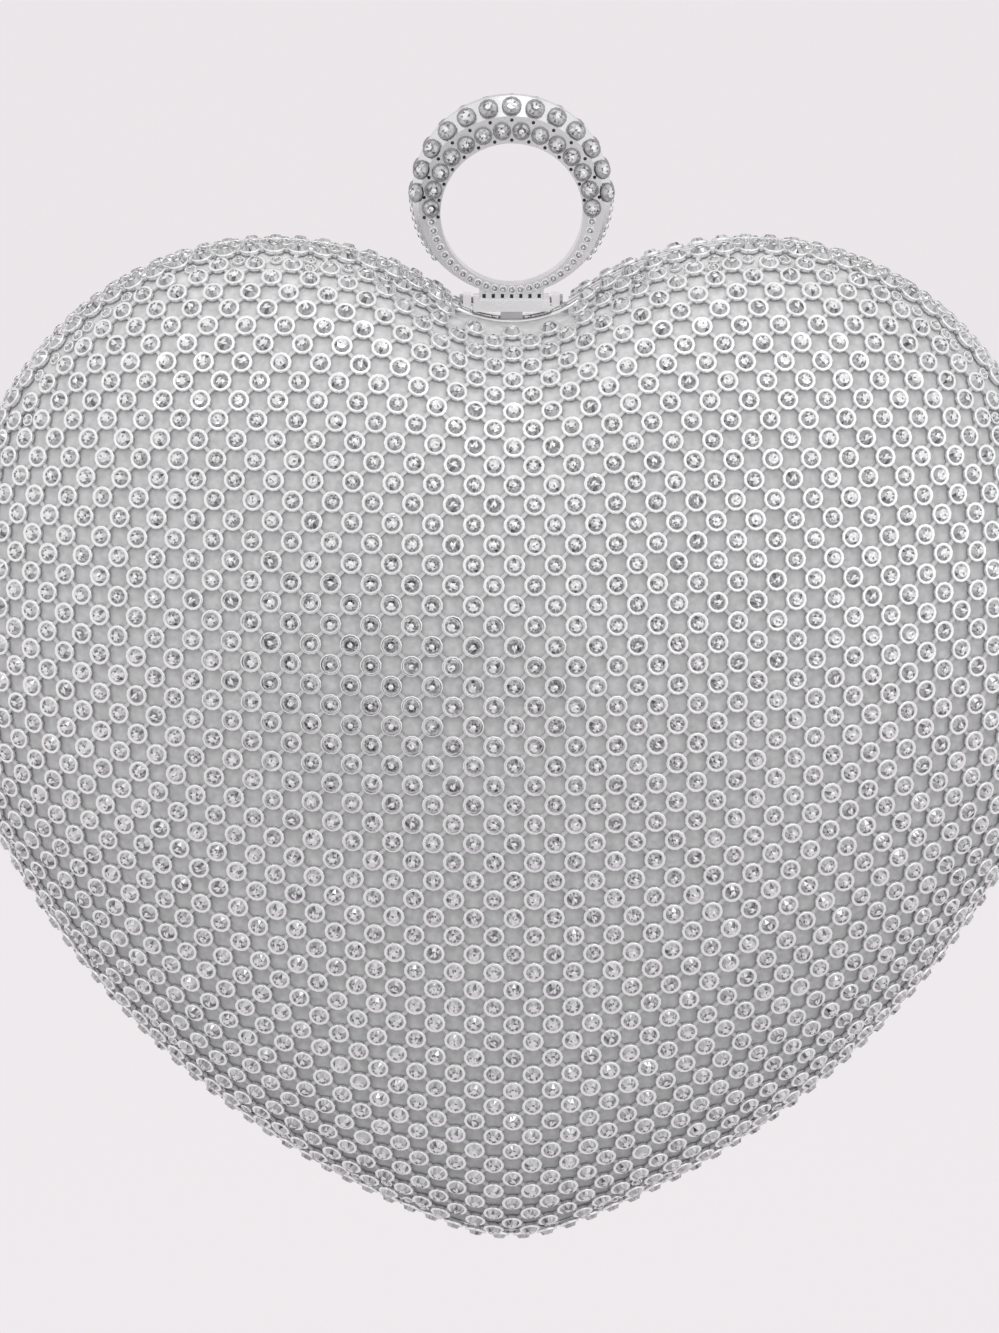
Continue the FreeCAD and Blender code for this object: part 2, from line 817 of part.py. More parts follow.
def build():
    """All pieces by name."""
    shell_outside, shell, lining, inside = half_layers()
    mesh = crystal_mesh_piece(shell_outside)
    trim = lining_trim(inside)
    front_leaf, back_leaf, hinge_pin = hinge_pieces()
    rivets = hinge_rivets()
    catch_spring, catch_rivets = catch_pieces()
    return {
        "front_crystal_mesh": mesh,
        "front_shell": shell,
        "front_lining": lining,
        "front_lining_trim": trim,
        "front_frame": front_frame_piece(),
        "front_hinge_leaf": front_leaf,
        "front_hinge_rivets": rivets,
        "catch_spring": catch_spring,
        "catch_rivets": catch_rivets,
        "back_crystal_mesh": to_back(mesh),
        "back_shell": to_back(shell),
        "back_lining": to_back(lining),
        "back_lining_trim": to_back(trim),
        "back_frame": back_frame_piece(),
        "back_hinge_leaf": back_leaf,
        "back_hinge_rivets": to_back(rivets),
        "hinge_pin": hinge_pin,
        "hasp_pin": hasp_pin_piece(),
        "hasp_plate": hasp_plate_piece(),
        "ring_foot": ring_foot_piece(),
        "finger_ring": finger_ring_piece(),
        "ring_stones": ring_stones_piece(),
    }


os.makedirs("parts", exist_ok=True)
for name, shape in build().items():
    shape.exportStep(os.path.join("parts", name + ".step"))
    print(name, len(shape.Solids), round(shape.Volume, 2), shape.isValid())
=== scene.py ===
import bmesh
import bpy
import json
import math
import numpy as np
from bpy.props import FloatProperty, FloatVectorProperty, IntProperty, PointerProperty
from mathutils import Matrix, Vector

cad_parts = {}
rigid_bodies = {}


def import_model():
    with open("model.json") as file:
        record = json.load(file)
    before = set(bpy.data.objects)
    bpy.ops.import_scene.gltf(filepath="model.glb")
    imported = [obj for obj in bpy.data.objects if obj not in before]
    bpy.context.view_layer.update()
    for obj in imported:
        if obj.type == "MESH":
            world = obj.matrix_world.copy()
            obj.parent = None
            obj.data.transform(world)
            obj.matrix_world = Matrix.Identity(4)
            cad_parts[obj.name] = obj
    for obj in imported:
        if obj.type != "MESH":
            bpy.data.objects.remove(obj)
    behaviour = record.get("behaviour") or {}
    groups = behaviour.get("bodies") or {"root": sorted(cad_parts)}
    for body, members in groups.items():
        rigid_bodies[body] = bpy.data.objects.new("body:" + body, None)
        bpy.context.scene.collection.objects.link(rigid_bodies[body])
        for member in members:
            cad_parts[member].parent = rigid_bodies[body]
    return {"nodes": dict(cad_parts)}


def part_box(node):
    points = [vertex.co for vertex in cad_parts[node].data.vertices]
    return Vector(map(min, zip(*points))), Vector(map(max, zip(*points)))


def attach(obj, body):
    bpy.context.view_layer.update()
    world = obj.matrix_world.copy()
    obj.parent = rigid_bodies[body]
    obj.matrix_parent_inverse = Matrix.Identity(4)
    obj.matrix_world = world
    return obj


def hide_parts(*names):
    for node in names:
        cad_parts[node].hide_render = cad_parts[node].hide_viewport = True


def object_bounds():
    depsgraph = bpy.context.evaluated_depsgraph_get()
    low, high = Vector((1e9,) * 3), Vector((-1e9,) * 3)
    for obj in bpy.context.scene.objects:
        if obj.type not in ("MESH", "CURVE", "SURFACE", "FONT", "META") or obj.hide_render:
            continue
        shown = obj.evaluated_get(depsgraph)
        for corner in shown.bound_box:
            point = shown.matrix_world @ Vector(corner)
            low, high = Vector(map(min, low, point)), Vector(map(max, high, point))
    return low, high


bl_info = {
    "name": "Heart purse",
    "version": (1, 0, 0),
    "blender": (4, 5, 0),
    "location": "3D View > Sidebar > Heart purse",
    "description": "Dresses the heart shaped purse: crystal covers, polished frames, jewelled ring and satin linings",
    "category": "Object",
}

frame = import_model()
CAD_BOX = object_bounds()
MM = 0.001
WELD = 0.001 * MM
QUARTER = math.pi / 2
PICTURE_HEIGHT = 1333
RELIEF = 0.05 * MM
HALVES = (("front", -1), ("back", 1))
SIDES = (-1, 1)

# Cups as shares of their radius and height: foot, bulge, shoulder and inner lip
CUP_SIDES = 12
CUP_FOOT, CUP_BULGE, CUP_SHOULDER, CUP_LIP = 0.97, 0.76, 0.96, 0.9
# Stones: how far each ring of facets reaches and rises, and the share of dark facets of each cut
STONE_SIDES = 8
TABLE_RING, STAR_RING = (0.64, 0.86), (0.33, 0.83)
# The facets' brightness is painted reflection: dark and bright patches stand in for what the foil and the facets
# reflect, and the bright middle is a painted highlight
DARK_SHARES = (0.2, 0.3, 0.3, 0.4, 0.4, 0.5, 0.5, 0.6, 0.8)
DARK_AT_GIRDLE, DARK_AT_MIDDLE = 0.12, 0.06
DARK_SHADES = (0.0, 0.25)
GIRDLE_SHADES = (0.25, 0.55)
TABLE_SHADES = (0.4, 0.85)
MIDDLE_SHADES = (0.85, 1.0)
COVER_SEAT_LEVEL = 0.84
# Small stones: heights of cup and seat as shares of the whole, and the seats' shares of the cups' radius
SMALL_CUP_LEVEL, SMALL_SEAT_LEVEL = 0.62, 0.54
SMALL_SEAT, RING_SEAT = 0.76, 0.84
# Straps
STRAPS_PER_STONE = 4
STRAP_REACH, STRAP_THICKNESS = 1.05 * MM, 0.35 * MM
STRAP_FLARE, STRAP_WAIST, STRAP_TOP = 1.7, 0.35, 0.8
# Search for the gaps beside the border row
GAP_BEARINGS, GAP_LEVELS, GAP_PARTS, GAP_REACH = 1500, 14, 20, 1.4
HASP_CLEAR = 2.2
EDGE_SEED, GAP_SEED = 3, 5
# Ring rows, as shares of the way from the hole to the bevel, and the rows on the outside of the shank
RING_RISE, SHANK_RISE = 1.0 * MM, 0.5 * MM
FACE_SEED, SHANK_SEED, BEVEL_SEED = 11, 12, 13
FACE_SHARE, SHANK_SHARE, BEAD_SHARES = 0.5, 0.52, (0.13, 0.9)
OUTSIDE_STONES, OUTSIDE_PITCH, OUTSIDE_START, OUTSIDE_SPREAD = 9, 2.15, 0.4, 1.05
OUTSIDE_LEAD = 0.1
BEAD_LEVELS, BEAD_SIDES = (-75, -35, 5, 40, 72), 8
GROOVE_RISE, GROOVE_WALL, GROOVE_TOP = 0.3, 0.6, 0.8
# Satin and braid: fineness of the weave, sheen, shape and flat bearings
SATIN_WEAVE, SATIN_SHEEN, BRAID_WEAVE, BRAID_SHEEN = 1800.0, 0.25, 4200.0, 0.4
SATIN_PER_GATHER, FLAT_BEARINGS = 6, (0, 50, 180, 270)
BRAID_PATH_PITCH, BRAID_STEPS = 1.0 * MM, 10
SATIN_LEVELS, SATIN_EASE, SATIN_GAP, SATIN_POLE = 36, 1.15, 0.25 * MM, 0.02
GATHER_FADE, GATHER_SHARE, SLOW_GATHERS, SLOW_SHARE, SLOW_SHIFT = 0.4, 0.66, 37, 0.5, 1.3
MERIDIAN_STEPS, MERIDIAN_POLE = 90, 1e-4

# Metals: finish, smooth and smudged roughness, scale of the smudges, bump, metallic
METALS = {
    "polished_metal": ("polished", 0.06, 0.16, 120.0, 0.05, 1.0),
    "cup_metal": ("cups", 0.2, 0.34, 500.0, 0.1, 1.0),
    "strap_metal": ("straps", 0.42, 0.55, 500.0, 0.1, 0.3),
    # Near black metal: painted shade in the foot's grooves and on the beads between the ring's stones
    "groove_metal": ("groove", 0.4, 0.6, 500.0, 0.2, 1.0),
    # Painted shade: the ring's cups are darker than the covers' cups, standing in for the shade round its stones
    "ring_cup_metal": ("ring_cups_painted_shade", 0.3, 0.4, 500.0, 0.1, 1.0),
    "hasp_metal": ("hasp", 0.24, 0.34, 300.0, 0.1, 1.0),
    "ring_metal": ("ring", 0.22, 0.36, 300.0, 0.1, 1.0),
    "foot_metal": ("foot", 0.25, 0.4, 300.0, 0.1, 1.0),
    "spring_steel": ("steel", 0.25, 0.4, 200.0, 0.2, 1.0),
}
FINISHED_NODES = {
    "polished_metal": ("front_frame", "back_frame", "front_hinge_leaf", "back_hinge_leaf", "front_hinge_rivets",
                       "back_hinge_rivets", "catch_rivets"),
    "hasp_metal": ("hasp_plate",),
    "ring_metal": ("finger_ring",),
    "foot_metal": ("ring_foot",),
    "spring_steel": ("hinge_pin", "hasp_pin", "catch_spring"),
}

# Lamps: place from the aim, diameter, power, whether they show in reflections
WORLD_STRENGTH = 0.9
LAMPS = {
    "key": ((-0.6, -0.9, 1.1), 1.6, 4.5, False),
    "fill": ((0.9, -1.0, 0.3), 1.4, 1.4, True),
    "top": ((0.1, 0.2, 1.1), 1.2, 6.0, False),
    "spark_left": ((-0.55, -0.8, 0.75), 0.22, 0.3, True),
    "spark_right": ((0.5, -0.75, 0.85), 0.22, 0.3, True),
    "spark_top": ((0.05, -0.5, 1.0), 0.22, 0.3, True),
    "spark_back": ((0.3, 0.8, 0.8), 0.22, 0.3, True),
}
# Floor and backdrop in one sweep: half width, height, back of the floor, bend, steps of the bend, share that glows
SWEEP_HALF, SWEEP_HEIGHT, SWEEP_BACK, SWEEP_BEND, SWEEP_STEPS, SWEEP_GLOW = 3.0, 3.0, 1.4, 0.6, 12, 0.85
MATT = 0.9
GREY_CARD_LIFT, FRONT_CARD_Y, REAR_CARD_Y = 0.01, -0.54, 0.75
SENSOR_WIDTH = 36.0


def length(description, default):
    """Length property, given in millimetres."""
    return FloatProperty(description=description, default=default * MM, unit="LENGTH", precision=5)


def number(description, default):
    """Plain number property."""
    return FloatProperty(description=description, default=default, precision=4)


def count(description, default):
    """Whole number property."""
    return IntProperty(description=description, default=default)


def degrees(description, default):
    """Angle property, given in degrees."""
    return FloatProperty(description=description, default=math.radians(default), subtype="ANGLE")


def colour(description, default):
    """Colour property."""
    return FloatVectorProperty(description=description, default=default, size=3, subtype="COLOR", min=0.0, max=1.0)


class OutlineSizes(bpy.types.PropertyGroup):
    """Heart outline over the crystals and the domes that rise from it"""
    cleft_radius: length("Hollow arc at the top of the heart", 16.0)
    cleft_turn: degrees("Angle of the hollow arc on each side", 35.0)
    lobe_radius: length("Round top of each lobe", 45.0)
    lobe_turn: degrees("Angle of the lobe's arc", 85.0)
    shoulder_radius: length("Side of each lobe", 66.0)
    shoulder_turn: degrees("Angle of the shoulder's arc", 64.5)
    flank_radius: length("Long arc down to the tip", 126.0)
    tip_radius: length("Round bottom tip", 23.0)
    cleft_above_apex: length("Height of the cleft over the domes' apex", 51.0)
    apex_height: length("Height of the domes' apex", -65.5)
    half_depth: length("Depth of each half over the crystals", 32.0)
    crown_half_width: length("Oval that the sections ease into", 82.0)
    crown_rise: length("Upper half height of that oval", 60.0)
    crown_drop: length("Lower half height of that oval", 84.0)
    ease_power: number("How late the sections ease from the heart into the oval", 3.0)
    frame_depth: length("Depth of each metal frame", 2.4)
    frame_inset: length("Frames under the crystals", 0.9)
    half_gap: length("Frames from the parting plane", 0.15)


class CrystalSizes(bpy.types.PropertyGroup):
    """Net of set stones on each half"""
    cup_radius: length("Outer radius of a stone's cup", 1.6)
    cup_height: length("Height of a stone's cup", 0.74)
    stone_radius: length("Radius of a stone inside its cup", 1.18)
    stone_rise: length("Height of a stone over its cup", 0.6)
    strap_reach: length("Farthest stones that a strap joins", 4.6)
    strap_width: length("Waist of the straps that join the cups", 0.6)
    strap_height: length("Straps over the net's base", 0.1)
    net_inset: length("Feet of the stones under the crystals' outline", 1.2)
    gap_radius: length("Cups of the small stones beside the border row", 0.95)
    gap_height: length("Height of the small stones beside the border row", 0.85)
    gap_clear: length("Small stones from the cups round them", 0.05)
    gap_low: length("Depth from the parting at which the small stones start", 4.6)
    gap_high: length("Depth from the parting at which the small stones end", 9.5)
    gap_bare: length("Space without small stones at the hasp and the hinge", 13.0)
    edge_radius: length("Cups of the small stones on the frames", 1.08)
    edge_height: length("Height of the small stones over the frames", 0.85)
    edge_pitch: length("Distance between the small stones on the frames", 2.45)
    edge_shift: length("Small stones from the middle of the frame's edge", 0.25)
    edge_lean: degrees("Lean of the small stones away from the parting", 14.0)
    edge_sink: length("Depth of the small stones in the frames", 0.15)
    bare_start: length("Start of the bare frame right of the ring", 5.0)
    bare_end: length("End of the bare frame right of the ring", 33.0)
    bare_hinge: length("Bare frame on each side of the hinge", 11.5)
    seed: count("Seed of the stones' turns", 7)


class RingSizes(bpy.types.PropertyGroup):
    """Finger ring and its stones"""
    hole_radius: length("Finger hole", 10.4)
    outer_radius: length("Eccentric outside of the band", 14.5)
    rise: length("Centre of the outside over the hole's centre", 2.7)
    top_width: length("Width of the band at the top", 6.4)
    bottom_width: length("Width of the band at the bottom", 4.0)
    bevel_drop: length("Fall of the bevels", 3.0)
    bevel_run: length("Width of the bevels", 1.9)
    face_radius: length("Cups on the faces", 1.33)
    bevel_radius: length("Cups on the bevels", 1.45)
    row_turn: degrees("Angle that the rows cover", 184.0)
    shank_radius: length("Small stones on the lower shank", 0.6)
    bead_radius: length("Beads between the stones", 0.27)
    face_stones: count("Stones on each face", 14)
    bevel_stones: count("Stones on each bevel", 13)
    shank_stones: count("Small stones round each lower face", 27)
    grooves: count("Grooves on each face of the foot", 7)
    groove_width: length("Width of the foot's grooves", 0.46)
    groove_height: length("Height of the foot's grooves", 0.55)
    groove_depth: length("Depth of the foot's grooves", 0.35)


class LiningSizes(bpy.types.PropertyGroup):
    """Satin linings and their braids"""
    inset: length("Middle of the satin under the crystals", 3.2)
    thickness: length("Thickness of the satin", 0.4)
    gather_depth: length("Depth of the small gathers along the edge", 0.16)
    gathers: count("Number of gathers along the edge", 150)
    braid_inset: length("Middle of the braid under the crystals", 4.35)
    braid_height: length("Middle of the braid from the parting plane", 3.05)
    braid_radius: length("Radius of each strand of the braid", 0.36)
    braid_pitch: length("Length of one turn of the braid", 3.0)


class Finishes(bpy.types.PropertyGroup):
    """Colours of the purse"""
    polished: colour("Frames and hinge", (0.86, 0.86, 0.87))
    cups: colour("Plated cups of the covers and the frames", (0.97, 0.97, 0.98))
    straps: colour("Duller straps between the cups", (0.62, 0.62, 0.63))
    hasp: colour("Brushed plate of the hasp", (0.95, 0.95, 0.95))
    ring: colour("Band between the ring's stones", (0.8, 0.8, 0.81))
    foot: colour("Ribbed foot under the ring", (0.82, 0.82, 0.83))
    # Painted shade: near black for the floors of the foot's grooves and the beads between the ring's stones
    groove: colour("Dark grooves of the foot and beads of the ring", (0.06, 0.06, 0.065))
    # Painted shade: darker cups stand in for the shade round the ring's stones
    ring_cups_painted_shade: colour("Darker cups round the ring's stones", (0.36, 0.36, 0.37))
    steel: colour("Pins and catch spring", (0.55, 0.55, 0.56))
    # Painted reflection: the darkest and lightest brightness that the stones' facets take
    stone_dark: colour("Darkest facet of a stone", (0.09, 0.09, 0.095))
    stone_light: colour("Lightest facet of a stone", (0.86, 0.86, 0.87))
    base: colour("Silver ground between the stones", (0.57, 0.57, 0.575))
    satin: colour("Lining", (0.50, 0.50, 0.53))
    braid: colour("Trim along the lining", (0.62, 0.62, 0.65))


class StudioSizes(bpy.types.PropertyGroup):
    """Camera, light and backdrop"""
    azimuth: degrees("Camera round the purse", -0.7)
    elevation: degrees("Camera above the horizon", 12.5)
    distance: length("Camera from the aim", 760.0)
    pixels_per_mm: number("Picture points for each millimetre at the aim", 6.71)
    aim_x: length("Middle of the picture across", -1.75)
    aim_z: length("Middle of the picture in height", -68.0)
    pale: colour("Floor and backdrop", (0.83, 0.80, 0.82))
    floor_drop: length("Floor under the tip", 120.0)


class PurseSettings(bpy.types.PropertyGroup):
    """All sizes and colours of the heart purse"""
    outline: PointerProperty(type=OutlineSizes)
    crystals: PointerProperty(type=CrystalSizes)
    ring: PointerProperty(type=RingSizes)
    lining: PointerProperty(type=LiningSizes)
    finishes: PointerProperty(type=Finishes)
    studio: PointerProperty(type=StudioSizes)


def settings():
    """The scene's sizes and colours."""
    return bpy.context.scene.heart_purse


# Heart outline and domes

def bearing_vector(angle):
    """Unit vector in the XZ plane."""
    return np.array([math.cos(angle), math.sin(angle)])


def outline_points(sizes, inset, per_arc=80):
    """Right half of the inset outline about the apex, from the cleft to the tip."""
    cleft_centre = np.array([0.0, sizes.cleft_above_apex + sizes.cleft_radius])
    cleft_end = sizes.cleft_turn - QUARTER
    lobe_centre = cleft_centre + bearing_vector(cleft_end) * (sizes.cleft_radius + sizes.lobe_radius)
    lobe_start = QUARTER + sizes.cleft_turn
    lobe_end = lobe_start - sizes.lobe_turn
    shoulder_centre = lobe_centre + bearing_vector(lobe_end) * (sizes.lobe_radius - sizes.shoulder_radius)
    shoulder_end = lobe_end - sizes.shoulder_turn
    flank_centre = shoulder_centre + bearing_vector(shoulder_end) * (sizes.shoulder_radius - sizes.flank_radius)
    drop = math.sqrt((sizes.flank_radius - sizes.tip_radius) ** 2 - flank_centre[0] ** 2)
    tip_centre = np.array([0.0, flank_centre[1] - drop])
    to_tip = tip_centre - flank_centre
    flank_end = math.atan2(to_tip[1], to_tip[0])
    arcs = (
        (cleft_centre, sizes.cleft_radius + inset, -QUARTER, cleft_end),
        (lobe_centre, sizes.lobe_radius - inset, lobe_start, lobe_end),
        (shoulder_centre, sizes.shoulder_radius - inset, lobe_end, shoulder_end),
        (flank_centre, sizes.flank_radius - inset, shoulder_end, flank_end),
        (tip_centre, sizes.tip_radius - inset, flank_end, -QUARTER),
    )
    points = []
    for centre, radius, start, end in arcs:
        angles = np.linspace(start, end, per_arc, endpoint=False)
        points.append(centre + radius * np.stack([np.cos(angles), np.sin(angles)], 1))
    points.append(tip_centre[None] + bearing_vector(-QUARTER) * (sizes.tip_radius - inset))
    return np.concatenate(points)


def closed_outline(sizes, inset):
    """Whole inset outline about the apex, from the cleft round to it again."""
    right = outline_points(sizes, inset)
    return np.concatenate([right, (right * (-1, 1))[::-1][1:]])


def along_line(line, pitch):
    """Evenly spaced points on a closed line and its outward directions there."""
    steps = np.diff(line, axis=0)
    gone = np.concatenate([[0], np.cumsum(np.linalg.norm(steps, axis=1))])
    total = round(gone[-1] / pitch)
    at = (np.arange(total) + 0.5) * gone[-1] / total
    points = np.stack([np.interp(at, gone, line[:, axis]) for axis in range(2)], 1)
    part = np.clip(np.searchsorted(gone, at) - 1, 0, len(steps) - 1)
    return points, unit(np.stack([-steps[part, 1], steps[part, 0]], 1))


def unit(vectors):
    """Rows of an array as unit vectors."""
    return vectors / np.linalg.norm(vectors, axis=1)[:, None]


class Dome:
    """Front dome at an inset under the crystals, about the apex on the parting plane."""

    def __init__(self, sizes, inset):
        right = outline_points(sizes, inset)
        left = right[1:-1][::-1] * (-1, 1)
        rim = np.concatenate([right, left])
        bearings = np.arctan2(rim[:, 1], rim[:, 0])
        order = np.argsort(bearings)
        self.bearings = bearings[order]
        self.reaches = np.hypot(rim[:, 0], rim[:, 1])[order]
        self.depth = sizes.half_depth - inset
        self.half_width = sizes.crown_half_width - inset
        self.rise = sizes.crown_rise - inset
        self.drop = sizes.crown_drop - inset
        self.ease_power = sizes.ease_power
        self.first_lift = math.asin(sizes.frame_depth / self.depth)

    def reach(self, bearing, share):
        """Reach of the section whose easing share is given."""
        rim = np.interp(bearing, self.bearings, self.reaches, period=2 * math.pi)
        height = np.where(np.sin(bearing) > 0, self.rise, self.drop)
        crown = 1 / np.hypot(np.cos(bearing) / self.half_width, np.sin(bearing) / height)
        return rim * (1 - share) + crown * share

    def point(self, bearing, lift):
        """Points at a bearing and an angle up the elliptic profile."""
        bearing, lift = np.broadcast_arrays(bearing, lift)
        run = self.reach(bearing, np.sin(lift) ** self.ease_power) * np.cos(lift)
        return np.stack([run * np.cos(bearing), -self.depth * np.sin(lift), run * np.sin(bearing)], -1)

    def level(self, points):
        """1 on the dome, less inside."""
        share = np.minimum(np.abs(points[:, 1]) / self.depth, 1.0) ** self.ease_power
        run = np.hypot(points[:, 0], points[:, 2])
        bearing = np.arctan2(points[:, 2], points[:, 0])
        return (run / self.reach(bearing, share)) ** 2 + (points[:, 1] / self.depth) ** 2

    def facing(self, points, step=0.02 * MM):
        """Outward unit normals, along the gradient of the level."""
        slope = np.empty_like(points)
        for axis in range(3):
            shift = np.zeros(3)
            shift[axis] = step
            slope[:, axis] = (self.level(points + shift) - self.level(points - shift)) / (2 * step)
        return unit(slope)

    def meridian_lengths(self, bearing):
        """Lengths of the meridians from the crown to the frame."""
        lifts = np.linspace(QUARTER - MERIDIAN_POLE, self.first_lift, MERIDIAN_STEPS)
        line = self.point(bearing[:, None], lifts[None])
        return np.cumsum(np.linalg.norm(np.diff(line, axis=1), axis=2), 1)[:, -1]


def stone_seats(half):
    """Feet and outward directions of a half's stones, from the cones of its crystal mesh."""
    work = bmesh.new()
    work.from_mesh(frame["nodes"][half + "_crystal_mesh"].data)
    bmesh.ops.remove_doubles(work, verts=work.verts, dist=WELD)
    feet, facing = [], []
    for first in work.verts:
        if first.tag:
            continue
        first.tag = True
        cone = [first]
        for vertex in cone:
            for edge in vertex.link_edges:
                other = edge.other_vert(vertex)
                if not other.tag:
                    other.tag = True
                    cone.append(other)
        points = np.array([vertex.co for vertex in cone])
        reach = np.linalg.norm(points - points.mean(0), axis=1)
        wide = reach > reach.mean()
        foot, top = points[wide].mean(0), points[~wide].mean(0)
        feet.append(foot)
        facing.append((top - foot) / np.linalg.norm(top - foot))
    work.free()
    return np.array(feet), np.array(facing)


def gap_seats(sizes, crystals, places, side):
    """Feet and outward directions of small stones in the gaps beside a half's border row."""
    dome = Dome(sizes, crystals.net_inset)
    bearing = np.linspace(0, 2 * math.pi, GAP_BEARINGS, endpoint=False)
    lift = np.arcsin(np.linspace(crystals.gap_low, crystals.gap_high, GAP_LEVELS) / dome.depth)
    spots = dome.point(bearing[None], lift[:, None]).reshape(-1, 3)
    facing = dome.facing(spots) * (1, -side, 1)
    spots = spots * (1, -side, 1) + (0, 0, sizes.apex_height)
    free = np.concatenate([np.linalg.norm(part[:, None] - places[None], axis=2).min(1)
                           for part in np.array_split(spots, GAP_PARTS)])
    room = crystals.cup_radius + crystals.gap_radius + crystals.gap_clear
    fits = (free > room) & (free < GAP_REACH * room) & (np.abs(spots[:, 0]) > crystals.gap_bare)
    apart = 2 * crystals.gap_radius + crystals.gap_clear
    chosen = []
    for k in np.argsort(-free, kind="stable"):
        if fits[k] and all(np.linalg.norm(spots[k] - spots[n]) > apart for n in chosen):
            chosen.append(k)
    return spots[chosen], facing[chosen]


def linked_pairs(places, reach):
    """Pairs of stones that straps join: each among the nearest of the other, within a reach."""
    apart = np.linalg.norm(places[:, None] - places[None], axis=2)
    rank = apart.argsort(1).argsort(1)
    joined = (apart < reach) & (rank <= STRAPS_PER_STONE) & (rank.T <= STRAPS_PER_STONE)
    return np.argwhere(np.triu(joined, 1))


# Meshes, and templates of what repeats

def new_mesh(name, vertices, faces, smooth=False):
    """Mesh from its vertices and faces."""
    mesh = bpy.data.meshes.new(name)
    mesh.from_pydata([tuple(v) for v in vertices], [], faces)
    mesh.polygons.foreach_set("use_smooth", [smooth] * len(mesh.polygons))
    return mesh


def scene_object(name, data):
    """Object of the scene's own collection."""
    item = bpy.data.objects.new(name, data)
    bpy.context.scene.collection.objects.link(item)
    return item


def template(name, vertices, faces, smooth, painted_reflections=None):
    """Small mesh object that is set many times."""
    mesh = new_mesh(name, vertices, faces, smooth)
    mesh.validate()
    # Faces may carry a painted reflection brightness each
    if painted_reflections is not None:
        layer = mesh.attributes.new("shade", "FLOAT", "FACE")
        layer.data.foreach_set("value", painted_reflections)
    return bpy.data.objects.new(name, mesh)


def walls(rows, around):
    """Faces between rows of vertices that each close round."""
    return [(row * around + k, row * around + (k + 1) % around, (row + 1) * around + (k + 1) % around,
             (row + 1) * around + k) for row in range(rows - 1) for k in range(around)]


def circle(radius, height, sides, offset=0):
    """Points of a level circle round Z."""
    angles = [2 * math.pi * (k + offset) / sides for k in range(sides)]
    return [(radius * math.cos(a), radius * math.sin(a), height) for a in angles]


def turned(profile, sides):
    """Closed shape turned round Z from a profile of radius and height, with flat ends."""
    vertices = [point for radius, height in profile for point in circle(radius, height, sides)]
    last = len(vertices) - sides
    ends = [tuple(range(sides))[::-1], tuple(range(last, last + sides))]
    return vertices, walls(len(profile), sides) + ends


def cup_template(radius, height, seat):
    """Round cup with a rolled rim."""
    profile = [(radius * CUP_FOOT, 0), (radius, height * CUP_BULGE), (radius * CUP_SHOULDER, height * CUP_SHOULDER),
               ((radius + seat) / 2, height), (seat * CUP_FOOT, height * CUP_LIP)]
    return template("cup", *turned(profile, CUP_SIDES), True)


def cut_stone(name, radius, low, rise, rng, dark_share):
    """Brilliant cut crown whose facets carry painted reflection: each its own brightness, a share of those round its
    middle dark and the middle bright.
    """
    sides = STONE_SIDES
    vertices = circle(radius, low, 2 * sides)
    for (share, level), offset in ((TABLE_RING, 0), (STAR_RING, 0.5)):
        vertices += circle(radius * share, low + rise * level, sides, offset)
    vertices.append((0, 0, low + rise))
    t, s, c = 2 * sides, 3 * sides, 4 * sides
    faces, painted_reflections = [], []

    def add(face, dark, light):
        faces.append(face)
        # Painted reflection: a dark or light brightness for this facet, standing in for what it reflects
        painted_reflections.append(rng.uniform(*(DARK_SHADES if rng.random() < dark else light)))

    for k in range(sides):
        n = (k + 1) % sides
        add((2 * k, 2 * k + 1, t + k), DARK_AT_GIRDLE, GIRDLE_SHADES)
        add((2 * k + 1, t + n, t + k), DARK_AT_GIRDLE, GIRDLE_SHADES)
        add((2 * k + 1, (2 * k + 2) % t, t + n), DARK_AT_GIRDLE, GIRDLE_SHADES)
        add((t + k, t + n, s + k), dark_share, TABLE_SHADES)
        add((s + k, t + n, s + n), dark_share, TABLE_SHADES)
        add((s + k, s + n, c), DARK_AT_MIDDLE, MIDDLE_SHADES)
    add(tuple(range(t))[::-1], 0.0, GIRDLE_SHADES)
    return template(name, vertices, faces, False, painted_reflections)


def cut_stones(radius, low, rise, rng):
    """One stone for each share of dark facets."""
    return [cut_stone(f"cut_{n}", radius, low, rise, rng, share) for n, share in enumerate(DARK_SHARES)]


def strap_template(crystals):
    """Waisted strap between two cups, long along X."""
    waist, low = crystals.strap_width / 2, crystals.strap_height
    high = low + STRAP_THICKNESS
    vertices, faces = [], []
    for place, flare in ((-1, STRAP_FLARE), (-STRAP_WAIST, 1), (STRAP_WAIST, 1), (1, STRAP_FLARE)):
        x, half = place * STRAP_REACH, flare * waist
        vertices += [(x, -half, low), (x, half, low), (x, half * STRAP_TOP, high), (x, -half * STRAP_TOP, high)]
    for k in range(3):
        for m in range(4):
            n = (m + 1) % 4
            faces.append((4 * k + m, 4 * k + 4 + m, 4 * k + 4 + n, 4 * k + n))
    faces += [(0, 1, 2, 3), (15, 14, 13, 12)]
    return template("strap", vertices, faces, False)


def bead_template(radius):
    """Small round bead."""
    profile = [(radius * math.cos(a), radius * math.sin(a)) for a in np.radians(BEAD_LEVELS)]
    return template("bead", *turned(profile, BEAD_SIDES), True)


# Node trees

def made_once(store, name, make):
    """What a store has under a name, or else what is made under it."""
    return store.get(name) or make(name)


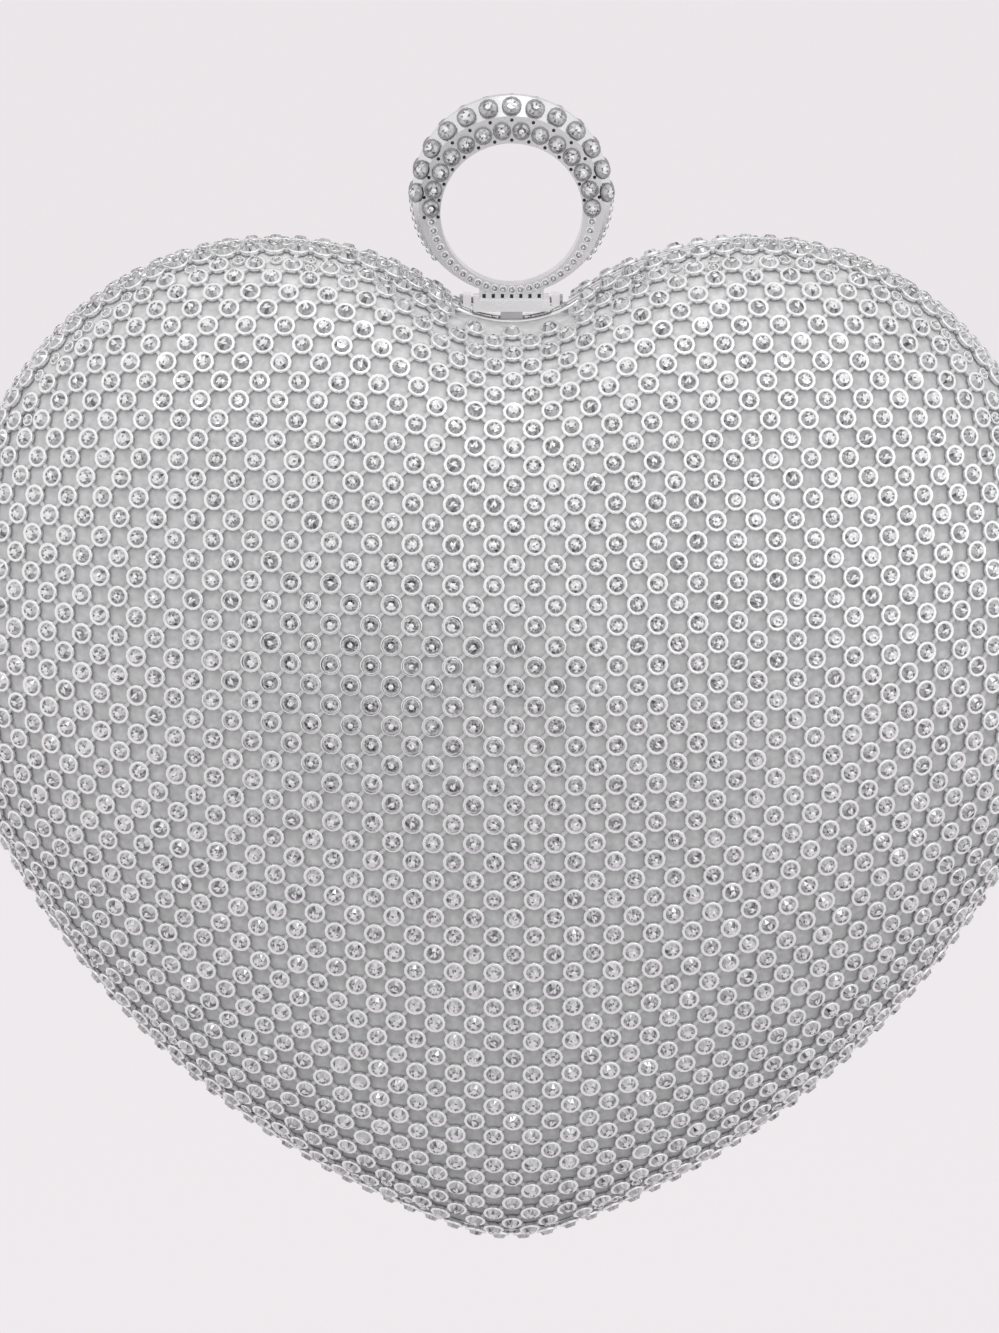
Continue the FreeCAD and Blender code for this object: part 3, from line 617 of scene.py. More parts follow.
class Tree:
    """Node tree in which each node is added with its values and links at once."""

    def __init__(self, tree):
        self.tree = tree

    def add(self, kind, inputs=(), **properties):
        """New node with its own properties, and its inputs as in feed."""
        node = self.tree.nodes.new(kind)
        for key, value in properties.items():
            setattr(node, key, value)
        self.feed(node, inputs)
        return node

    def feed(self, node, inputs):
        """Give a node's inputs values, or outputs of other nodes to link."""
        for key, value in dict(inputs).items():
            if isinstance(value, bpy.types.NodeSocket):
                self.tree.links.new(value, node.inputs[key])
            else:
                node.inputs[key].default_value = value

    def calculate(self, operation, *values):
        """Output of a math node."""
        return self.add("ShaderNodeMath", enumerate(values), operation=operation).outputs[0]

    def vector(self, operation, inputs):
        """Output of a vector math node."""
        return self.add("ShaderNodeVectorMath", inputs, operation=operation).outputs[0]

    def ramp(self, factor, *stops):
        """Output of a colour ramp between two stops of position and colour."""
        node = self.add("ShaderNodeValToRGB", {"Fac": factor})
        for element, (position, tint) in zip(node.color_ramp.elements, stops):
            element.position = position
            element.color = (*tint, 1)
        return node.outputs["Color"]

    def relief(self, height, strength):
        """Normal of a fine bump."""
        bump = self.add("ShaderNodeBump", {"Strength": strength, "Distance": RELIEF, "Height": height})
        return bump.outputs["Normal"]

    def painted(self, geometry):
        """Last nodes of a geometry tree, which set its material."""
        paint = self.add("GeometryNodeSetMaterial", {"Geometry": geometry, "Material": self.given["Material"]})
        self.feed(self.made, {"Geometry": paint.outputs["Geometry"]})
        return self.tree


def node_group(name, kind, inputs, outputs):
    """New node group with its sockets, given as names with their kinds, and its input and output nodes."""
    group = Tree(bpy.data.node_groups.new(name, kind))
    for way, sockets in (("OUTPUT", outputs), ("INPUT", inputs)):
        for label, socket in sockets.items():
            group.tree.interface.new_socket(label, in_out=way, socket_type="NodeSocket" + socket)
    group.given = group.add("NodeGroupInput").outputs
    group.made = group.add("NodeGroupOutput")
    return group


def setting_tree(name):
    """Tree that sets templates on points by their facing and along vectors."""
    tree = node_group(name, "GeometryNodeTree", {"Geometry": "Geometry", "Pieces": "Collection", "Seed": "Int",
                                                 "Material": "Material"}, {"Geometry": "Geometry"})
    pieces = tree.add("GeometryNodeCollectionInfo", {"Collection": tree.given["Pieces"], "Separate Children": True,
                                                     "Reset Children": True})
    facing, along = [tree.add("GeometryNodeInputNamedAttribute", {"Name": key}, data_type="FLOAT_VECTOR")
                     for key in ("facing", "along")]
    upright = tree.add("FunctionNodeAlignRotationToVector", {"Vector": facing.outputs["Attribute"]}, axis="Z")
    lengthwise = tree.add("FunctionNodeAlignRotationToVector",
                          {"Rotation": upright.outputs["Rotation"], "Vector": along.outputs["Attribute"]},
                          axis="X", pivot_axis="Z")
    pick = tree.add("FunctionNodeRandomValue", {"Min": 0, "Max": 1000, "Seed": tree.given["Seed"]}, data_type="INT")
    setter = tree.add("GeometryNodeInstanceOnPoints",
                      {"Points": tree.given["Geometry"], "Instance": pieces.outputs["Instances"],
                       "Pick Instance": True, "Instance Index": pick.outputs[2],
                       "Rotation": lengthwise.outputs["Rotation"]})
    real = tree.add("GeometryNodeRealizeInstances", {"Geometry": setter.outputs["Instances"]})
    return tree.painted(real.outputs["Geometry"])


def braid_tree(name):
    """Tree that twists two strands round a closed path."""
    tree = node_group(name, "GeometryNodeTree", {"Geometry": "Geometry", "Turns": "Int", "Points": "Int",
                                                 "Radius": "Float", "Material": "Material"}, {"Geometry": "Geometry"})
    given, add, calculate = tree.given, tree.add, tree.calculate
    path = add("GeometryNodeMeshToCurve", {"Mesh": given["Geometry"]})
    even = add("GeometryNodeResampleCurve", {"Curve": path.outputs["Curve"], "Count": given["Points"]})
    tangent = add("GeometryNodeInputTangent").outputs[0]
    normal = add("GeometryNodeInputNormal").outputs[0]
    side = tree.vector("CROSS_PRODUCT", {0: tangent, 1: normal})
    along = add("GeometryNodeSplineParameter").outputs["Factor"]
    twist = calculate("MULTIPLY", calculate("MULTIPLY", along, given["Turns"]), 2 * math.pi)
    profile = add("GeometryNodeCurvePrimitiveCircle", {"Resolution": 7, "Radius": given["Radius"]})
    both = add("GeometryNodeJoinGeometry")
    for phase in (0.0, math.pi):
        angle = calculate("ADD", twist, phase)
        shifts = [tree.vector("SCALE", {0: way, "Scale": calculate("MULTIPLY", calculate(wave, angle),
                                                                   given["Radius"])})
                  for way, wave in ((normal, "COSINE"), (side, "SINE"))]
        move = add("GeometryNodeSetPosition", {"Geometry": even.outputs["Curve"],
                                               "Offset": tree.vector("ADD", enumerate(shifts))})
        strand = add("GeometryNodeCurveToMesh", {"Curve": move.outputs["Geometry"],
                                                 "Profile Curve": profile.outputs["Curve"]})
        tree.feed(both, {"Geometry": strand.outputs["Mesh"]})
    real = add("GeometryNodeRealizeInstances", {"Geometry": both.outputs["Geometry"]})
    smooth = add("GeometryNodeSetShadeSmooth", {"Geometry": real.outputs["Geometry"]})
    return tree.painted(smooth.outputs["Geometry"])


def run_tree(name, source, tree_name, make, **values):
    """Plain mesh object from what a geometry tree makes of a source mesh, with values for its sockets."""
    source = scene_object(source.name, source)
    modifier = source.modifiers.new("Make", "NODES")
    modifier.node_group = made_once(bpy.data.node_groups, tree_name, make)
    for item in modifier.node_group.interface.items_tree:
        if item.item_type == "SOCKET" and item.in_out == "INPUT" and item.name.lower() in values:
            modifier[item.identifier] = values[item.name.lower()]
    bpy.context.view_layer.update()
    evaluated = source.evaluated_get(bpy.context.evaluated_depsgraph_get())
    mesh = bpy.data.meshes.new_from_object(evaluated)
    mesh.name = name
    bpy.data.objects.remove(source)
    return scene_object(name, mesh)


def set_pieces(name, body, templates, places, facing, along, material, seed=0):
    """Templates set on points by geometry nodes, as one plain piece that rides on a body."""
    holder = bpy.data.collections.new(name + "_templates")
    for item in templates:
        holder.objects.link(item)
    points = new_mesh(name + "_points", places, [])
    for key, vectors in (("facing", facing), ("along", along)):
        layer = points.attributes.new(key, "FLOAT_VECTOR", "POINT")
        layer.data.foreach_set("vector", np.asarray(vectors, float).ravel())
    piece = run_tree(name, points, "Set pieces on points", setting_tree, pieces=holder, seed=seed, material=material)
    for item in list(holder.objects):
        bpy.data.objects.remove(item)
    bpy.data.collections.remove(holder)
    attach(piece, body)
    return piece


# Materials

def new_material(name):
    """Material with a Principled shader, its tree and that shader."""
    material = bpy.data.materials.new(name)
    material.use_nodes = True
    return material, Tree(material.node_tree), material.node_tree.nodes["Principled BSDF"]


def toned(tint, factor):
    """Lighter or darker tint."""
    return [min(1, c * factor) for c in tint]


def handling_group(name):
    """Faint smudges and fine scratches of handled metal, as a roughness and a bump height."""
    group = node_group(name, "ShaderNodeTree", {"Smooth": "Float", "Smudged": "Float", "Scale": "Float"},
                       {"Roughness": "Float", "Height": "Float"})
    place = group.add("ShaderNodeTexCoord").outputs["Object"]
    smudge = group.add("ShaderNodeTexNoise", {"Vector": place, "Scale": group.given["Scale"], "Detail": 5.0})
    spread = group.add("ShaderNodeMapRange", {"Value": smudge.outputs["Fac"], "From Min": 0.35, "From Max": 0.7,
                                              "To Min": group.given["Smooth"], "To Max": group.given["Smudged"]})
    fine = group.add("ShaderNodeTexNoise", {"Vector": place, "Scale": 2500.0, "Detail": 2.0})
    group.feed(group.made, {"Roughness": spread.outputs["Result"], "Height": fine.outputs["Fac"]})
    return group.tree


def weave_group(name):
    """Fine over and under of woven threads, as a tone and a bump height."""
    group = node_group(name, "ShaderNodeTree", {"Scale": "Float"}, {"Tone": "Float", "Height": "Float"})
    place = group.add("ShaderNodeTexCoord").outputs["Object"]
    threads = [group.add("ShaderNodeTexWave", {"Vector": place, "Scale": group.given["Scale"], "Distortion": 0.6,
                                               "Detail Scale": 2.0}, bands_direction=axis) for axis in "XZ"]
    total = group.calculate("ADD", *[wave.outputs["Fac"] for wave in threads])
    cloud = group.add("ShaderNodeTexNoise", {"Vector": place, "Scale": 60.0, "Detail": 4.0})
    tone = group.calculate("MULTIPLY_ADD", total, 0.15, cloud.outputs["Fac"])
    group.feed(group.made, {"Tone": tone, "Height": total})
    return group.tree


def metal_material(name):
    """Plated or plain metal with traces of handling."""
    finish, smooth, smudged, scale, bump, metallic = METALS[name]
    material, tree, shader = new_material(name)
    handled = tree.add("ShaderNodeGroup", {"Smooth": smooth, "Smudged": smudged, "Scale": scale},
                       node_tree=made_once(bpy.data.node_groups, "Handled metal", handling_group))
    tree.feed(shader, {"Base Color": (*getattr(settings().finishes, finish), 1), "Metallic": metallic,
                       "Roughness": handled.outputs["Roughness"],
                       "Normal": tree.relief(handled.outputs["Height"], bump)})
    return material


def metal(name):
    """One of the purse's metals."""
    return made_once(bpy.data.materials, name, metal_material)


def crystal_material(name):
    """Foil backed stone under a clear glossy surface: each facet's brightness is painted reflection, standing in for
    what the foil and facets reflect.
    """
    finishes = settings().finishes
    material, tree, shader = new_material(name)
    # Painted reflection: each facet's stored brightness sets its colour between the darkest and the lightest
    shade = tree.add("ShaderNodeAttribute", attribute_name="shade").outputs["Fac"]
    tree.feed(shader, {"Base Color": tree.ramp(shade, (0.0, finishes.stone_dark), (0.75, finishes.stone_light)),
                       "Metallic": 0.7, "Roughness": 0.12, "Coat Weight": 1.0, "Coat Roughness": 0.02})
    return material


def cover_stone():
    """Stones of the covers, the frames and the ring."""
    return made_once(bpy.data.materials, "cover_stone", crystal_material)


def ground_material(name, tint):
    """Silver ground under the net, with a fine grain."""
    material, tree, shader = new_material(name)
    place = tree.add("ShaderNodeTexCoord").outputs["Object"]
    grain = tree.add("ShaderNodeTexNoise", {"Vector": place, "Scale": 900.0, "Detail": 3.0}).outputs["Fac"]
    tree.feed(shader, {"Base Color": tree.ramp(grain, (0.3, toned(tint, 0.85)), (0.7, toned(tint, 1.12))),
                       "Metallic": 0.0, "Roughness": 0.6})
    return material


def cloth_material(name, tint, scale, sheen):
    """Satin or twisted thread with a soft sheen."""
    material, tree, shader = new_material(name)
    weave = tree.add("ShaderNodeGroup", {"Scale": scale},
                     node_tree=made_once(bpy.data.node_groups, "Fine weave", weave_group)).outputs
    tree.feed(shader, {"Base Color": tree.ramp(weave["Tone"], (0.35, toned(tint, 0.9)), (0.95, toned(tint, 1.08))),
                       "Normal": tree.relief(weave["Height"], 0.25), "Roughness": 0.42,
                       "Sheen Weight": sheen, "Sheen Roughness": 0.3})
    return material


def finish_nodes(material, *names):
    """CAD nodes that keep their shape and take a material."""
    for name in names:
        materials = frame["nodes"][name].data.materials
        materials.clear()
        materials.append(material)


def set_stones(name, body, seats, radius, height, seed, seat_share=SMALL_SEAT, cup_finish="cup_metal"):
    """Row of stones in their cups, as two pieces; the cups are returned."""
    places, facing = seats
    rng = np.random.default_rng(seed)
    spin = rng.normal(size=places.shape)
    seat = radius * seat_share
    cup = cup_template(radius, SMALL_CUP_LEVEL * height, seat)
    cups = set_pieces(name + "_cups", body, [cup], places, facing, spin, metal(cup_finish))
    low = SMALL_SEAT_LEVEL * height
    cuts = cut_stones(seat, low, height - low, rng)
    set_pieces(name + "_stones", body, cuts, places, facing, spin, cover_stone(), seed)
    return cups


class PURSE_OT_shells(bpy.types.Operator):
    """Finish the silver shells under the net"""
    bl_idname = "purse.shells"
    bl_label = "Shells"

    def execute(self, context):
        ground = ground_material("silver_ground", settings().finishes.base)
        finish_nodes(ground, "front_shell", "back_shell")
        return {"FINISHED"}


class PURSE_OT_crystal_covers(bpy.types.Operator):
    """Set stones, cups and straps on both halves"""
    bl_idname = "purse.crystal_covers"
    bl_label = "Crystal covers"

    def execute(self, context):
        purse = settings()
        crystals = purse.crystals
        rng = np.random.default_rng(crystals.seed)
        for half, side in HALVES:
            body = half + "_half"
            places, facing = stone_seats(half)
            spin = rng.normal(size=places.shape)
            cup = cup_template(crystals.cup_radius, crystals.cup_height, crystals.stone_radius)
            cups = set_pieces(half + "_cups", body, [cup], places, facing, spin, metal("cup_metal"))
            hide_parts(half + "_crystal_mesh")
            low = crystals.cup_height * COVER_SEAT_LEVEL
            cuts = cut_stones(crystals.stone_radius, low, crystals.cup_height + crystals.stone_rise - low, rng)
            set_pieces(half + "_stones", body, cuts, places, facing, spin, cover_stone(), crystals.seed)
            a, b = linked_pairs(places, crystals.strap_reach).T
            set_pieces(half + "_straps", body, [strap_template(crystals)], (places[a] + places[b]) / 2,
                       unit(facing[a] + facing[b]), places[b] - places[a], metal("strap_metal"))
            set_stones(half + "_gap", body, gap_seats(purse.outline, crystals, places, side),
                       crystals.gap_radius, crystals.gap_height, crystals.seed + GAP_SEED)
        return {"FINISHED"}


class PURSE_OT_edge_stones(bpy.types.Operator):
    """Set the small stones that cover the frames' edges"""
    bl_idname = "purse.edge_stones"
    bl_label = "Edge stones"

    def execute(self, context):
        purse = settings()
        sizes, crystals = purse.outline, purse.crystals
        points, outward = along_line(closed_outline(sizes, sizes.frame_inset), crystals.edge_pitch)
        x, z = points.T
        bare = (z > 0) & (np.abs(x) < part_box("hasp_plate")[1].x + HASP_CLEAR * crystals.edge_radius)
        bare |= (z > 0) & (x > crystals.bare_start) & (x < crystals.bare_end)
        bare |= (z < 0) & (np.abs(x) < crystals.bare_hinge)
        (x, z), outward = points[~bare].T, outward[~bare]
        middle = (sizes.frame_depth + sizes.half_gap) / 2 + crystals.edge_shift
        lean, upright = math.sin(crystals.edge_lean), math.cos(crystals.edge_lean)
        for half, side in HALVES:
            places = np.stack([x, np.full(len(x), side * middle), z + sizes.apex_height], 1)
            facing = np.stack([upright * outward[:, 0], np.full(len(x), side * lean), upright * outward[:, 1]], 1)
            set_stones(half + "_edge", half + "_half", (places - facing * crystals.edge_sink, facing),
                       crystals.edge_radius, crystals.edge_height, crystals.seed + EDGE_SEED)
        return {"FINISHED"}


class PURSE_OT_frames(bpy.types.Operator):
    """Finish the frames, the hinge, the ring and the hasp"""
    bl_idname = "purse.frames"
    bl_label = "Frames, hinge and hasp"

    def execute(self, context):
        for name, nodes in FINISHED_NODES.items():
            finish_nodes(metal(name), *nodes)
        return {"FINISHED"}


def seats_of(rows):
    """Places and facings, as arrays, from pairs of them."""
    places, facing = zip(*rows)
    return np.array(places), np.array(facing, float)


class PURSE_OT_ring_stones(bpy.types.Operator):
    """Set the stones and beads of the finger ring and the grooves of its foot"""
    bl_idname = "purse.ring_stones"
    bl_label = "Ring stones"

    def execute(self, context):
        self.sizes = sizes = settings().ring
        # The face and bevel stones sit in darker cups: painted shade round the ring's stones
        cups = set_stones("ring_face", "ring_hasp", seats_of(self.face_rows()), sizes.face_radius,
                          RING_RISE, FACE_SEED, RING_SEAT, "ring_cup_metal")
        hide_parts("ring_stones")
        set_stones("ring_bevel", "ring_hasp", seats_of(self.bevel_rows()), sizes.bevel_radius,
                   RING_RISE, BEVEL_SEED, RING_SEAT, "ring_cup_metal")
        set_stones("ring_shank", "ring_hasp", seats_of(self.shank_rows()), sizes.shank_radius,
                   SHANK_RISE, SHANK_SEED)
        # The beads are near black: painted shade in the gaps between the ring's stones
        places, facing = seats_of(self.bead_rows())
        set_pieces("ring_beads", "ring_hasp", [bead_template(sizes.bead_radius)], places, facing,
                   facing[:, [1, 2, 0]], metal("groove_metal"))
        # The grooves' dark floors: painted shade in the foot's recesses
        places, facing = seats_of(self.groove_rows())
        set_pieces("foot_grooves", "ring_hasp", [self.groove_template()], places, facing,
                   np.tile((1.0, 0.0, 0.0), (len(places), 1)), metal("groove_metal"))
        return {"FINISHED"}

    def groove_template(self):
        """Dark floor of one groove, with bevelled edges: painted shade in the recess."""
        half, high = self.sizes.groove_width / 2, self.sizes.groove_height / 2
        rise = GROOVE_RISE * self.sizes.groove_depth
        vertices = [(x * half * share, y * high * share, level)
                    for level, share in ((0, 1.0), (rise * GROOVE_WALL, 1.0), (rise, GROOVE_TOP))
                    for x, y in ((-1, -1), (1, -1), (1, 1), (-1, 1))]
        return template("groove", vertices, walls(3, 4) + [(3, 2, 1, 0), (8, 9, 10, 11)], False)

    def groove_rows(self):
        """Floors of the grooves on both faces of the foot."""
        sizes = self.sizes
        low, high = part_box("ring_foot")
        z = low.z + sizes.groove_depth + sizes.groove_height / 2
        for side, face in ((-1, low.y), (1, high.y)):
            for k in range(sizes.grooves):
                x = low.x + (high.x - low.x) * (k + 0.5) / sizes.grooves
                yield (x, face - side * sizes.groove_depth, z), (0, side, 0)

    def outside(self, run, angle):
        """Point of the band's outside in the XZ plane at a run along the bevel."""
        sizes = self.sizes
        fall = sizes.bevel_drop * run / sizes.bevel_run / 2
        return bearing_vector(angle) * (sizes.outer_radius - fall) + (0, sizes.rise - fall)

    def half_width(self, height):
        """Half the band's width at a height."""
        sizes = self.sizes
        share = (height - sizes.rise + sizes.outer_radius) / (2 * sizes.outer_radius)
        return (sizes.bottom_width + (sizes.top_width - sizes.bottom_width) * share) / 2

    def on_face(self, angle, share, side):
        """Point on a face of the band, at a share of the way from the hole to the bevel, and its facing."""
        sizes = self.sizes
        rim = np.linalg.norm(self.outside(sizes.bevel_run, angle))
        x, z = bearing_vector(angle) * (sizes.hole_radius + (rim - sizes.hole_radius) * share)
        normal = np.array([0, side, -(sizes.top_width - sizes.bottom_width) / (4 * sizes.outer_radius)])
        return (x, side * self.half_width(z), z), normal / np.linalg.norm(normal)

    def angles(self, total):
        """Bearings of a row over the top of the ring."""
        start = (math.pi - self.sizes.row_turn) / 2
        return [start + self.sizes.row_turn * (k + 0.5) / total for k in range(total)]

    def face_rows(self):
        """Stones on both faces over the top of the ring."""
        return [self.on_face(angle, FACE_SHARE, side) for side in SIDES
                for angle in self.angles(self.sizes.face_stones)]

    def bevel_rows(self):
        """Stones on both bevels, between those on the faces."""
        sizes = self.sizes
        for side in SIDES:
            for angle in self.angles(sizes.bevel_stones):
                high, low = self.outside(0, angle), self.outside(sizes.bevel_run, angle)
                upper = np.array([high[0], side * (sizes.top_width / 2 - sizes.bevel_run), high[1]])
                lower = np.array([low[0], side * sizes.top_width / 2, low[1]])
                along = np.array([-math.sin(angle), 0, math.cos(angle)])
                normal = np.cross(lower - upper, along)
                normal *= math.copysign(1, normal @ (math.cos(angle), 0, math.sin(angle)))
                yield (upper + lower) / 2, normal / np.linalg.norm(normal)

    def shank_rows(self):
        """Small stones down both sides of the shank, on its faces and its outside."""
        sizes = self.sizes
        first = (sizes.row_turn - math.pi) / 2
        for k in range(sizes.shank_stones):
            angle = -first - (math.pi - 2 * first) * (k + 0.5) / sizes.shank_stones
            for side in SIDES:
                yield self.on_face(angle, SHANK_SHARE, side)
        reach = OUTSIDE_PITCH * sizes.shank_radius / sizes.outer_radius
        for k in range(OUTSIDE_STONES):
            fall = first + reach * (k + OUTSIDE_START) - OUTSIDE_LEAD
            for angle in (-fall, math.pi + fall):
                x, z = self.outside(0, angle)
                for side in SIDES:
                    yield (x, side * OUTSIDE_SPREAD * sizes.shank_radius, z), (math.cos(angle), 0, math.sin(angle))

    def bead_rows(self):
        """Beads between the stones, along the hole and along the bevels."""
        between = self.angles(self.sizes.face_stones)
        half = (between[1] - between[0]) / 2
        return [self.on_face(angle + half, share, side) for side in SIDES for angle in between
                for share in BEAD_SHARES]


def turn_outward(mesh):
    """Faces of a closed mesh turned outward."""
    work = bmesh.new()
    work.from_mesh(mesh)
    bmesh.ops.recalc_face_normals(work, faces=work.faces)
    work.to_mesh(mesh)
    work.free()


class PURSE_OT_linings(bpy.types.Operator):
    """Lay the satin linings inside the shells"""
    bl_idname = "purse.linings"
    bl_label = "Linings"

    def execute(self, context):
        purse = settings()
        satin = cloth_material("lining_satin", purse.finishes.satin, SATIN_WEAVE, SATIN_SHEEN)
        for half, side in HALVES:
            mesh, area, spread = self.satin_mesh(half + "_satin", purse.outline, purse.lining, side)
            piece = scene_object(half + "_satin", mesh)
            mesh.materials.append(satin)
            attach(piece, half + "_half")
            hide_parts(half + "_lining")
        return {"FINISHED"}

    def satin_mesh(self, name, sizes, lining, side):
        """Closed thin sheet over the inside of a dome, gathered along its edge; its area and flat size."""
        dome = Dome(sizes, lining.inset)
        around = SATIN_PER_GATHER * lining.gathers
        bearing = np.linspace(0, 2 * math.pi, around, endpoint=False)
        start = math.asin((sizes.frame_depth + SATIN_GAP) / dome.depth)
        lift = start + (QUARTER - SATIN_POLE - start) * np.linspace(0, 1, SATIN_LEVELS) ** SATIN_EASE
        grid = dome.point(bearing[None], lift[:, None])
        flat = np.concatenate([grid.reshape(-1, 3), [[0, -dome.depth, 0]]])
        facing = dome.facing(flat)
        facing[-1] = (0, -1, 0)
        fade = np.exp(-(grid[:, :, 1] / dome.depth / GATHER_FADE) ** 2)
        wave = np.sin(lining.gathers * bearing) + SLOW_SHARE * np.sin(SLOW_GATHERS * bearing + SLOW_SHIFT)
        push = np.concatenate([(lining.gather_depth * fade * wave[None] * GATHER_SHARE).ravel(), [0]])
        middle = flat + facing * push[:, None]
        pole, last = len(flat) - 1, (SATIN_LEVELS - 1) * around
        quads = walls(SATIN_LEVELS, around)
        fan = [(last + k, last + (k + 1) % around, pole) for k in range(around)]
        a, b, c, d = middle[np.array(quads)].transpose(1, 0, 2)
        area = np.linalg.norm(np.cross(c - a, d - b), axis=1).sum() / 2
        a, b, c = middle[np.array(fan)].transpose(1, 0, 2)
        area += np.linalg.norm(np.cross(b - a, c - a), axis=1).sum() / 2
        half = facing * (lining.thickness / 2)
        vertices = np.concatenate([middle + half, middle - half]) * (1, -side, 1) + (0, 0, sizes.apex_height)
        shift = len(flat)
        inside = [tuple(v + shift for v in reversed(face)) for face in quads + fan]
        edge = [((k + 1) % around, k, k + shift, (k + 1) % around + shift) for k in range(around)]
        faces = quads + fan + inside + edge
        if side > 0:
            faces = [tuple(reversed(face)) for face in faces]
        mesh = new_mesh(name, vertices, faces, True)
        turn_outward(mesh)
        right, up, left, down = dome.meridian_lengths(np.radians(FLAT_BEARINGS))
        return mesh, float(area), (float(right + left), float(up + down))


class PURSE_OT_braids(bpy.types.Operator):
    """Lay the twisted braids along the linings' edges"""
    bl_idname = "purse.braids"
    bl_label = "Braids"

    def execute(self, context):
        purse = settings()
        sizes, lining = purse.outline, purse.lining
        thread = cloth_material("lining_braid", purse.finishes.braid, BRAID_WEAVE, BRAID_SHEEN)
        points, _ = along_line(closed_outline(sizes, lining.braid_inset), BRAID_PATH_PITCH)
        length_around = np.linalg.norm(points - np.roll(points, 1, 0), axis=1).sum()
        turns = round(length_around / lining.braid_pitch)
        for half, side in HALVES:
            path = bpy.data.meshes.new(half + "_braid_path")
            path.from_pydata([(x, side * lining.braid_height, z + sizes.apex_height) for x, z in points],
                             [(k, (k + 1) % len(points)) for k in range(len(points))], [])
            piece = run_tree(half + "_braid", path, "Two strand braid", braid_tree, turns=turns,
                             points=BRAID_STEPS * turns, radius=lining.braid_radius, material=thread)
            turn_outward(piece.data)
            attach(piece, half + "_half")
            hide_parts(half + "_lining_trim")
        return {"FINISHED"}


